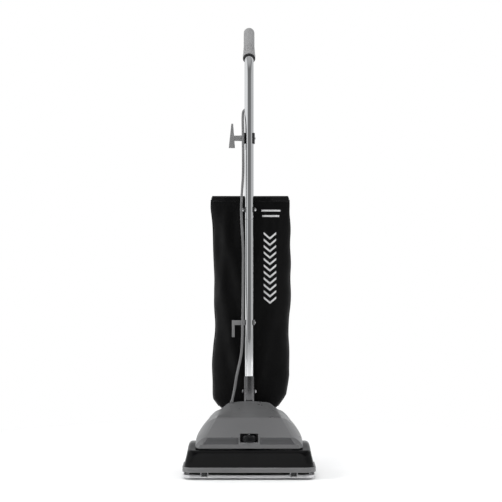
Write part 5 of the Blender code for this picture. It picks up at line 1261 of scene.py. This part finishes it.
@dataclass
class Nozzle:
    """Front shell, bumper strip, bottom plate, latches and brush."""

    width: float = 0.331
    start: float = 0.0045
    depth: float = 0.115
    corner: float = 0.0215
    bottom: float = 0.0195
    front_top: float = 0.0735
    top: float = 0.0855
    bumper_width: float = 0.340
    bumper_low: float = 0.0183
    bumper_high: float = 0.0312
    latch_at: float = 0.1135
    tufts: int = 84
    roll_at: Vector = fixed(0.0, -0.1864, 0.033)

    def section(self, depth: float) -> tuple[float, float]:
        """Half width and top height of the shell at a depth behind the bumper's front."""
        inward = max(0.0, 1 - (depth - self.start) / self.corner)
        half = self.width / 2 - self.corner * (1 - sqrt(max(0.0, 1 - inward**2)))
        rise = smooth_step((depth - 0.012) / 0.070) * 0.4 + 0.6 * min(1.0,
                                                                      max(0.0, (depth - 0.012) / 0.070))
        drop = 0.0065 * max(0.0, 1 - (depth - self.start) / 0.010) ** 2
        return half, self.front_top + (self.top - self.front_top) * rise - drop

    def build(self) -> None:
        """Makes the visible pieces of the nozzle."""
        self._shell()
        self._bumper()
        show_copy("tray_plate", "bottom_plate", Finishes.STEEL, Part.BASE, 0.0003, 40, angle=26)
        show_copy("left_latch", "plate_latch_left", Finishes.BLACK_PLASTIC, Part.LEFT_LATCH, 0.0004)
        show_copy("right_latch", "plate_latch_right", Finishes.BLACK_PLASTIC, Part.RIGHT_LATCH, 0.0004)
        # painted shade: a dark strip across the gap between the bumper and the bottom plate keeps that gap
        # dark; a real seal there is a guess
        gap_shade = softened(block((-0.152, FRONT + 0.0165, 0.0122), (0.152, FRONT + 0.0182, 0.0196)), 0.0005)
        show("front_gap_shade_strip", gap_shade, Finishes.TUFT, Part.BASE)
        self._brush()

    def _shell(self) -> None:
        """The black front housing with rounded corners and shoulders, open underneath."""
        depths = [self.start + self.corner * (1 - cos(pi / 2 * k / 14)) for k in range(15)]
        depths += [self.start + self.corner + (self.depth - self.start - self.corner) * k / 12
                   for k in range(1, 13)]
        rows = []
        for depth in depths:
            half, top = self.section(depth)
            draft = 0.0075 * (top - self.bottom) / 0.060
            shoulder = 0.0115
            right = [(half, self.bottom), (half, self.bottom + 0.009), (half, self.bottom + 0.016),
                     (half - draft * 0.5, (self.bottom + 0.016 + top - shoulder) / 2)]
            for k in range(9):
                a = radians(90) * k / 8
                right.append((half - draft - shoulder * (1 - cos(a)), top - shoulder * (1 - sin(a))))
            inner = right[-1][0]
            right += [(inner * share, top) for share in (0.75, 0.5, 0.25)]
            rows.append(across(right, top, FRONT + depth))
        bm = lofted(rows, cap_start=True, cap_end=True)
        tools = [block((-0.014, FRONT + 0.055, 0.060), (0.014, FRONT + self.depth + 0.01, 0.120)),
                 rod((-0.038, FRONT + self.depth - 0.02, 0.055), 0.019, 0.04, "Y")]
        for side in (-1, 1):
            x = side * self.latch_at
            tools.append(block((x - 0.0135, FRONT - 0.002, self.bottom - 0.01), (x + 0.0135, FRONT + 0.010,
                                                                                 self.bottom + 0.0012)))
        shell = show("front_shell", carved(bm, *tools, wall=0.003), Finishes.BLACK_GLOSS, Part.BASE,
                     ("nozzle_shell",), 38)
        mesh = shell.data
        for edge in mesh.edges:
            if all(mesh.vertices[k].co.y < FRONT + self.start + 1e-5 for k in edge.vertices):
                edge.use_edge_sharp = True

    def _bumper(self) -> None:
        """The grey guard strip, with a shallow groove along its face."""
        low, high, thick = self.bumper_low, self.bumper_high, 0.0042
        middle = (low + high) / 2
        ring = rounded([(-thick, low), (0, low), (0, middle - 0.0014), (-0.0007, middle - 0.0008),
                        (-0.0007, middle + 0.0002),
                        (0, middle + 0.0008), (0, high), (-thick, high), (-thick, middle)], 0.0013)
        rows = [[place + out * o + Vector((0, 0, z)) for o, z in ring]
                for place, out in u_path(self.bumper_width / 2, FRONT, FRONT + self.depth - 0.004, 0.026)]
        show("guard_strip", lofted(rows, ring=True, cap_start=True, cap_end=True), Finishes.BUMPER,
             Part.BASE,
             ("furniture_bumper",), 34)

    def _brush(self) -> None:
        """Tufts in two spirals round the turning roll."""
        for word, offset in (("left", 0.0), ("right", pi)):
            tufts = bmesh.new()
            for k in range(self.tufts):
                x = -0.136 + 0.272 * k / (self.tufts - 1)
                turn = offset + abs(x) * 15.0
                lay = (shift(self.roll_at + Vector((x, 0, 0))) @ Matrix.Rotation(turn, 4, "X")
                       @ shift((0, 0, 0.0210)))
                bmesh.ops.create_cone(tufts, cap_ends=True, segments=8, radius1=0.0016, radius2=0.0030,
                                      depth=0.0145, matrix=lay)
            show(f"{word}_bristles", tufts, Finishes.TUFT, Part.ROLL, (f"bristle_row_{word}",), 40)
        show_copy("brush_core", "brush_roll", Finishes.BLACK_PLASTIC, Part.ROLL, 0.0005, angle=30)


@dataclass
class Hood:
    """Grey motor hood with its height dial."""

    half: float = 0.1375
    low: float = 0.0872
    crest: float = 0.1455
    lip_at: float = 0.018
    face_at: float = 0.030
    roof_at: float = 0.110
    depth: float = 0.262
    knob_at: Vector = fixed(0.0, -0.2069, 0.0925)
    knob_radius: float = 0.0212
    knob_height: float = 0.0185

    def station(self, depth: float, nozzle: Nozzle) -> tuple[float, float, float, float, float]:
        """Base half width, base height, crease half width, crease height and crown at a depth."""
        base = min(self.low, nozzle.section(depth)[1] + 0.0032)
        if depth < self.face_at:
            share = (depth - self.lip_at) / 0.012
            crease = (0.909 - 0.102 * share) * self.half
            shoulder = self.low + 0.0005 + 0.0165 * share**1.6
            return self.half - 0.010 * (1 - share), base, crease, shoulder, 0.0
        if depth <= self.roof_at:
            slope = (depth - self.face_at) / 0.080
            low = self.low + 0.0170
            return (self.half + 0.001 * slope, base, (0.807 - 0.196 * slope) * self.half,
                    low + (self.crest - low) * slope, 0.0006)
        share = (depth - self.roof_at) / (self.depth - self.roof_at)
        return (self.half + 0.001 - 0.014 * share**2, base, (0.611 - 0.044 * share) * self.half,
                self.crest + 0.0050 * share, 0.0006 + 0.0212 * share)

    def rows(self, nozzle: Nozzle) -> list[Row]:
        """Cross rows of the outside: fenders, side facets and a centre facet."""
        depths = [0.018, 0.0195, 0.021, 0.024, 0.027, 0.030] + [0.030 + 0.010 * k for k in range(1, 9)]
        depths += [0.110 + 0.0095 * k for k in range(1, 16)] + [self.depth]
        rows = []
        for depth in depths:
            half, base, crease, shoulder, crown = self.station(depth, nozzle)
            right = []
            for k in range(17):
                rise = k / 16
                right.append((crease + (half - crease) * (1 - rise**1.5) ** (2 / 3),
                              base + (shoulder - base) * rise))
            share = max(0.0, (depth - self.roof_at) / (self.depth - self.roof_at))
            facet = 0.042 + 0.012 * share
            right.append(((crease + facet) / 2, shoulder + crown * 0.40))
            right.append((facet, shoulder + crown * 0.80))
            right.append((facet * 0.66, shoulder + crown * 0.905))
            right.append((facet * 0.33, shoulder + crown * 0.975))
            rows.append(across(right, shoulder + crown, FRONT + depth))
        return rows

    def build(self, nozzle: Nozzle) -> None:
        """Makes the hood and what is on it.

        Args:
            nozzle: The shell that the hood stands on.
        """
        x, y, z = self.knob_at
        reach = self.knob_radius + 0.0022
        rows = self.rows(nozzle)
        solid = lofted(rows, ring=True, cap_start=True, cap_end=True)
        onto = bvhtree.BVHTree.FromBMesh(solid)
        boss = carved(rod((x, y, z - 0.0036), reach + 0.0022, 0.060, steps=96), solid, how="INTERSECT")
        alcove = rod((x, y, z - 0.0008), reach, self.knob_height + 0.0020, steps=96)
        shell = carved(lofted(rows, cap_start=True), boss, wall=0.003, how="UNION")
        shell = carved(shell, alcove, block((-reach, FRONT, z - 0.0008), (reach, y + 0.0035, z + 0.05)),
                       rod((0, y, 0.070), 0.0040, 0.05), rod(RELIEF_AT - Vector((0, 0, 0.02)), 0.0064,
                                                             0.06))
        show("grey_hood_shell", shell, Finishes.HOOD, Part.BASE, ("motor_hood",), 9)
        self._shaded_bands(nozzle)
        self._rim(nozzle)
        self._knob()
        self._scale_marks()
        self._screws(onto)

    def _shaded_bands(self, nozzle: Nozzle) -> None:
        """A thin darker strip on each side of the dial; its darker grey is painted shade of the recessed
        band under the face.
        """
        for side, word in ((-1, "left"), (1, "right")):
            rows = []
            for depth in (0.0189, 0.0200, 0.0215, 0.0240, 0.0270, 0.0293):
                _, _, crease, shoulder, _ = self.station(depth, nozzle)
                row = []
                for k in range(13):
                    x = 0.0275 + (crease - 0.0060 - 0.0275) * k / 12
                    row.append(Vector((side * x, FRONT + depth - 0.00022, shoulder + 0.00030)))
                rows.append(row)
            strip = show(f"{word}_shaded_band_strip", lofted(rows), Finishes.SHADED_BAND, Part.BASE, (), 40)
            walled(strip, 0.0003, 0.0)

    def _rim(self, nozzle: Nozzle) -> None:
        """A rolled bead along the hood's rear edge."""
        edge = [p + Vector((0, 0.0002, -0.0011)) for p in self.rows(nozzle)[-1]]
        inner = [p for p in edge if p.z > self.low + 0.004]
        show("hood_rear_bead", tube(smooth_line(inner, 0.004), 0.0017, 4), Finishes.HOOD, Part.BASE, (), 60)

    def _knob(self) -> None:
        """A domed dial with a fluted skirt, a raised grip bar and a pointer mark."""
        r, h = self.knob_radius, self.knob_height
        profile = [(0, h - 0.0016), (r * 0.40, h - 0.0019), (r * 0.62, h - 0.0030), (r * 0.80, h - 0.0058),
                   (r * 0.90, h - 0.0092),
                   (r * 0.955, 0.0055), (r - 0.0004, 0.0042), (r - 0.0002, 0.0012), (r - 0.0014, 0.0002),
                   (0, 0.0002)]
        dial = spun(rounded(profile, 0.0016), 120)
        for v in dial.verts:
            out = Vector((v.co.x, v.co.y, 0))
            if out.length > r * 0.70 and 0.004 < v.co.z < h - 0.004:
                v.co -= out.normalized() * 0.0007 * (0.5 + 0.5 * cos(24 * atan2(out.y, out.x)))
        bar = softened(block((-0.0032, -r * 0.80, h - 0.0065), (0.0032, r * 0.80, h + 0.0002)), 0.0014,
                       segments=4)
        pointer = softened(block((-0.0007, -r * 0.74, h + 0.0001), (0.0007, -r * 0.30, h + 0.0005)), 0.0002)
        show("height_dial", moved(joined(dial, bar), shift(self.knob_at)), Finishes.DIAL, Part.KNOB,
             ("height_knob",), 32)
        show("dial_pointer", moved(pointer, shift(self.knob_at)), Finishes.PRINT, Part.KNOB, (), 32)

    def _scale_marks(self) -> None:
        """Raised ticks round the dial's shelf."""
        ticks = bmesh.new()
        for k in range(7):
            turn = radians(-90 + 18 * (k - 3))
            lay = (shift((self.knob_at.x, self.knob_at.y, self.knob_at.z - 0.0006))
                   @ Matrix.Rotation(turn, 4, "Z")
                   @ shift((self.knob_radius + 0.0012, 0, 0)))
            made = bmesh.ops.create_cube(ticks, size=1.0)["verts"]
            bmesh.ops.scale(ticks, vec=(0.0018, 0.0006, 0.0006), verts=made)
            bmesh.ops.transform(ticks, matrix=lay, verts=made)
        show("dial_marks", ticks, Finishes.PRINT, Part.BASE, (), 32)

    def _screws(self, onto: bvhtree.BVHTree) -> None:
        """Two cross-head screws on the hood's fenders, near its rear.

        Args:
            onto: The hood's outside.
        """
        for side, word in ((-1, "left"), (1, "right")):
            place, normal, _, _ = onto.find_nearest(Vector((side * 0.135, FRONT + 0.226, 0.118)))
            cross = [block((-x, -y, 0.0006), (x, y, 0.003)) for x, y in ((0.0004, 0.0022),
                                                                         (0.0022, 0.0004))]
            head = screw_head(0.0016, [(0.0026, 0.0013), (0.0038, 0.0003)], 0.002, 40, *cross)
            lay = shift(place) @ normal.to_track_quat("Z", "Y").to_matrix().to_4x4()
            show(f"{word}_hood_screw", moved(head, lay), Finishes.STEEL, Part.BASE, (), 32)


@dataclass
class Chassis:
    """The rear tub with its wheels, duct, pedal, switch, pins and axles."""

    wheel_at: Vector = fixed(0.100, 0.0136, 0.038)
    wheel_radius: float = 0.038
    wheel_width: float = 0.024
    front_at: Vector = fixed(0.051, -0.1164, 0.015)
    front_radius: float = 0.015
    front_width: float = 0.014

    def build(self) -> None:
        """Makes the pieces of the tub."""
        black = Finishes.BLACK_PLASTIC
        show_copy("rear_tub", "chassis", black, Part.BASE, 0.0010, 28, 3, angle=30)
        show_copy("exhaust_elbow", "exhaust_duct", black, Part.BASE, 0.0, angle=40)
        show_copy("rocker_switch", "power_switch", Finishes.BLACK_GLOSS, Part.SWITCH, 0.0007, 20, 3,
                  angle=30)
        self._pedal()
        self._rear_wheel("left", -1, Part.LEFT_REAR_WHEEL)
        self._rear_wheel("right", 1, Part.RIGHT_REAR_WHEEL)
        self._front_wheel("left", -1, Part.LEFT_FRONT_WHEEL)
        self._front_wheel("right", 1, Part.RIGHT_FRONT_WHEEL)
        for word in ("left", "right"):
            for kind in ("pivot_pin", "rear_axle"):
                show_copy(f"{word}_{kind}", f"{kind}_{word}", Finishes.STEEL, Part.BASE, 0.0006, 30, 3,
                          angle=30)
        self._wall_screws()

    def _pedal(self) -> None:
        """The release pedal with raised tread bars on its pad."""
        pedal = copied("release_pedal", 0.0009, 28, 3)
        bars = [softened(block((0.026 + 0.0066 * k, 0.0615, 0.0310), (0.0298 + 0.0066 * k, 0.0835, 0.0324)),
                         0.0005)
                for k in range(6)]
        show("foot_pedal", joined(pedal, *bars), Finishes.BLACK_PLASTIC, Part.PEDAL, ("release_pedal",), 30)

    def _rear_wheel(self, word: str, side: int, part: Part) -> None:
        """A moulded wheel: a ribbed web and hub, and a tyre with tread grooves."""
        r, half = self.wheel_radius, self.wheel_width / 2
        lay = axis_matrix("X", (side * self.wheel_at.x, self.wheel_at.y, self.wheel_at.z))
        web = mirrored([(0.0046, half), (0.0118, half), (0.0126, half - 0.0060),
                        (r - 0.0116, half - 0.0060),
                        (r - 0.0104, half - 0.0006), (r - 0.0090, half - 0.0006)])
        hub = spun(rounded(web, 0.0009), 96, True)
        ribs = [moved(softened(block((0.0120, -0.0011, -half + 0.0012),
                                     (r - 0.0095, 0.0011, half - 0.0012)), 0.0005),
                      Matrix.Rotation(2 * pi * k / 6, 4, "Z")) for k in range(6)]
        show(f"{word}_wheel_hub", moved(joined(hub, *ribs), lay), Finishes.BLACK_PLASTIC, part,
             (f"rear_wheel_{word}",), 32)
        tread = mirrored([(r - 0.0092, half - 0.0004), (r - 0.0030, half), (r - 0.0004, half - 0.0026)])
        tread[3:3] = [point for z in (0.0062, 0.0, -0.0062) for point in
                      ((r, z + 0.0010), (r - 0.0012, z + 0.0006), (r - 0.0012, z - 0.0006),
                       (r, z - 0.0010))]
        show(f"{word}_wheel_tyre", moved(spun(rounded(tread, 0.0005, 2), 120, True), lay),
             Finishes.BLACK_RUBBER, part, (), 34)

    def _front_wheel(self, word: str, side: int, part: Part) -> None:
        """A small roller with a dished face and a crowned tread."""
        r, half = self.front_radius, self.front_width / 2
        profile = mirrored([(0.0029, half), (0.0060, half), (0.0070, half - 0.0020),
                            (r - 0.0040, half - 0.0020),
                            (r - 0.0030, half), (r - 0.0018, half), (r, half - 0.0030)])
        lay = axis_matrix("X", (side * self.front_at.x, self.front_at.y, self.front_at.z))
        show(f"{word}_front_roller", moved(spun(rounded(profile, 0.0006), 72, True), lay),
             Finishes.BLACK_RUBBER, part,
             (f"front_wheel_{word}",), 32)

    def _wall_screws(self) -> None:
        """Four cap screws in the rear wall of the tub."""
        screws = []
        for place in ((x, 0.0516, z) for x in (-0.0615, 0.0615) for z in (0.0150, 0.0480)):
            socket = rod((0, 0, 0.0008), 0.0014, 0.003, steps=6)
            head = screw_head(0.0020, [(0.0028, 0.0018), (0.0034, 0.0006)], 0.0010, 32, socket)
            screws.append(moved(head, axis_matrix("Y", place)))
        show("tub_screws", joined(*screws), Finishes.STEEL, Part.BASE, (), 32)


def dress_cad() -> None:
    """Gives every CAD node that still shows the finish of its slot."""
    by_slot = {f.slot: f for f in vars(Finishes).values() if isinstance(f, Finish)}
    by_slot["black_fabric"] = Finishes.CLOTH
    by_slot["grey_rubber"] = Finishes.BUMPER
    for entry in frame["record"]["subparts"]:
        node = frame["nodes"][entry["node"]]
        material = by_slot[entry["material_slot"]].material()
        node.data.materials.clear()
        node.data.materials.append(material)
        node.data.shade_smooth()
        node.data.set_sharp_from_angle(angle=radians(35))


def main() -> None:
    """Builds the machine piece by piece."""
    logging.basicConfig(level=logging.INFO, format="%(name)s: %(message)s")
    dress_cad()
    Studio().build()
    Cord().build()
    tubes = HandleTubes()
    tubes.build()
    Grip().build(tubes)
    CordHooks().build()
    DustBag().build()
    Neck().build()
    nozzle = Nozzle()
    nozzle.build()
    Hood().build(nozzle)
    Chassis().build()


if __name__ == "__main__":
    main()
